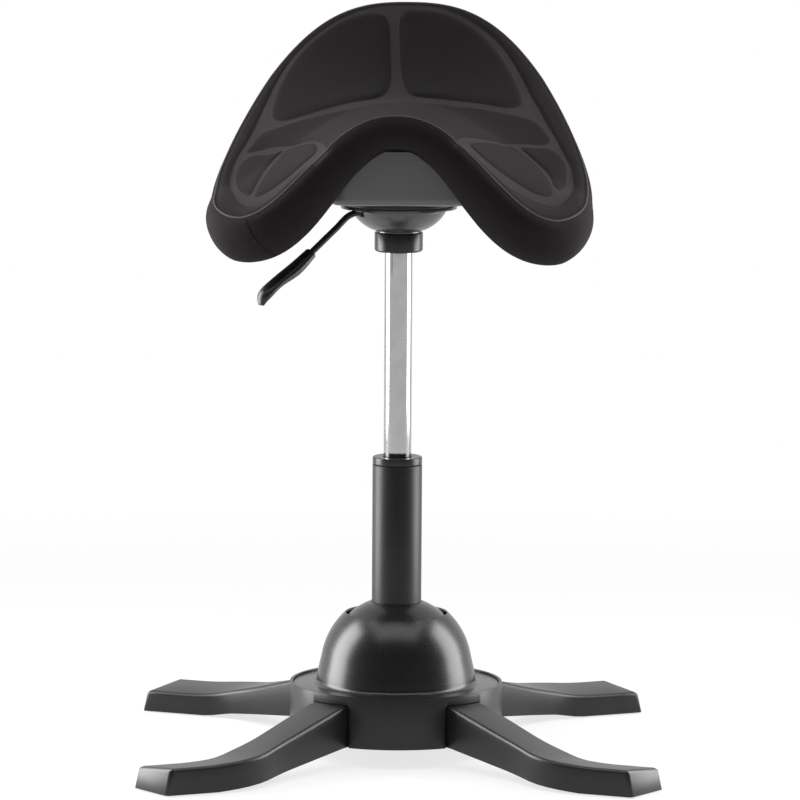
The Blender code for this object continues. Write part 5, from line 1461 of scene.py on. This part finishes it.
def pressIn(piece):  # the relief of the sewn cover: crowned pads, pressed bands, a rolled border
    points = meshPoints(piece)
    places, depth = layFlat(points)
    pads, wings, border = gapsOf(places)
    onTop = np.clip((0.0045 - depth) / 0.003, 0.0, 1.0)
    reach = relief["edgeReach"]
    seam = signedGap(places, seatOutline(240))
    lift = np.full(len(points), -relief["press"])
    for gap, crown in ((pads, relief["padCrown"]), (wings, relief["panelCrown"])):
        rise = 1.0 - np.exp(-np.maximum(gap, 0.0) / reach)
        lift = np.where(gap > 0.0, (crown + relief["press"]) * rise - relief["press"], lift)
    roll = (1.0 - np.exp(-np.maximum(border, 0.0) / reach)) * np.clip(seam / 0.006, 0.0, 1.0)
    pressed = relief["press"] * np.clip(seam / 0.004, 0.0, 1.0)
    lift = np.where(border > 0.0, (relief["borderCrown"] + relief["press"]) * roll - pressed, lift)
    outside = np.clip((outlineShare(places) - 0.90) / 0.03, 0.0, 1.0) + onTop
    lift = lift * onTop + relief["fullness"] * np.minimum(outside, 1.0)
    setPoints(piece, points + pointNormals(piece) * lift[:, None])
    inBand = np.minimum(np.minimum(-pads, -wings), -border)
    addMark(piece, "padGap", np.where(onTop > 0.5, pads, -1.0))
    addMark(piece, "borderGap", np.where(onTop > 0.5, border, 1.0))
    addMark(piece, "bandGap", np.where(onTop > 0.5, inBand, -1.0))
    addMark(piece, "sideGap", depth - 0.0030)
    return places, depth


def layChart(piece, places, depth):  # its own chart for the weave: plan place, slid outwards by the depth
    middle = np.array([0.0, 0.5 * (saddle["rear"] - saddle["front"])])
    spoke = places - middle
    spoke /= np.maximum(np.linalg.norm(spoke, axis=1, keepdims=True), 1e-6)
    chart = places + spoke * np.maximum(depth, 0.0)[:, None]
    layer = piece.data.uv_layers.new(name="lay")
    corner = np.zeros(len(piece.data.loops), int)
    piece.data.loops.foreach_get("vertex_index", corner)
    layer.data.foreach_set("uv", chart[corner].reshape(-1))


def turnedCover(points, places, depth):  # the cover stands a little turned on its board, which stays square
    angle = math.radians(saddle["turned"])
    deep = np.clip((depth - 0.5 * saddle["foam"]) / 0.008, 0.0, 1.0)
    inPocket = deep * np.clip((0.895 - outlineShare(places)) / 0.025, 0.0, 1.0)
    angle = angle * (1.0 - inPocket)
    x = points[:, 0] * np.cos(angle) - points[:, 1] * np.sin(angle) + saddle["slid"] * (1.0 - inPocket)
    y = points[:, 0] * np.sin(angle) + points[:, 1] * np.cos(angle)
    return np.stack([x, y, points[:, 2]], axis=1)


def makeCushion():
    piece = cushionShell()
    swell(piece)
    applyModifier(piece, "SUBSURF", levels=1, render_levels=1)
    applyModifier(piece, "SUBSURF", levels=1, render_levels=1)
    places, depth = pressIn(piece)
    layChart(piece, places, depth)
    setPoints(piece, turnedCover(meshPoints(piece), places, depth))
    takeUp(piece)
    bpy.ops.object.shade_smooth()
    piece.data.materials.clear()
    piece.data.materials.append(finishes["cloth"])
    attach(piece, "seat")
    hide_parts("seat_cushion")
    print("cushion ready:", len(piece.data.polygons), "faces")
    return piece


cushion = makeCushion()


def onCushion(tree, point):
    place, normal, index, distance = tree.find_nearest(Vector(point))
    return place, normal


def cordPiece(name, points, radius, closed, finish="seamCloth"):
    data, line = polyLine(name, points, "3D")
    line.use_cyclic_u = closed
    data.bevel_depth = radius
    data.bevel_resolution = 2
    data.use_fill_caps = True
    piece = addObject(name, data)
    takeUp(piece)
    bpy.ops.object.convert(target="MESH")
    piece = bpy.context.active_object
    piece.name = name
    bpy.ops.object.shade_smooth()
    chart = piece.data.uv_layers[0] if piece.data.uv_layers else piece.data.uv_layers.new(name="lay")
    chart.name = "lay"
    piece.data.materials.clear()
    piece.data.materials.append(finishes[finish])
    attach(piece, "seat")
    return piece


def makeSeams():
    tree = BVHTree.FromObject(cushion, bpy.context.evaluated_depsgraph_get())
    outline = seatOutline(420)
    onTop = np.zeros(len(outline))
    ring = turnedCover(underSaddle(outline[:, 0], outline[:, 1], onTop), outline, onTop)
    points = []
    for point in ring:
        place, normal = onCushion(tree, point)
        points.append(place + normal * 0.0004)
    cordPiece("seamCord", points, 0.0010, True)
    side = int(np.argmin(np.abs(outline[:, 0] + 0.147) + np.abs(outline[:, 1] + 0.13)))
    full = saddle["foam"] + saddle["board"]
    ahead = outline[(side + 1) % len(outline)] - outline[side - 1]
    outward = np.array([ahead[1], -ahead[0], 0.0]) / np.linalg.norm(ahead)
    join = []
    for share in np.linspace(0.04, 0.9, 24):
        point = underSaddle(outline[side:side + 1, 0], outline[side:side + 1, 1], np.array([share * full]))
        point = point + outward * sideSwell(share)
        place, normal = onCushion(tree, turnedCover(point, outline[side:side + 1], np.zeros(1))[0])
        join.append(place + normal * 0.0001)
    cordPiece("boxingJoin", join, 0.0005, False, "cloth")


makeSeams()
print("seams ready")
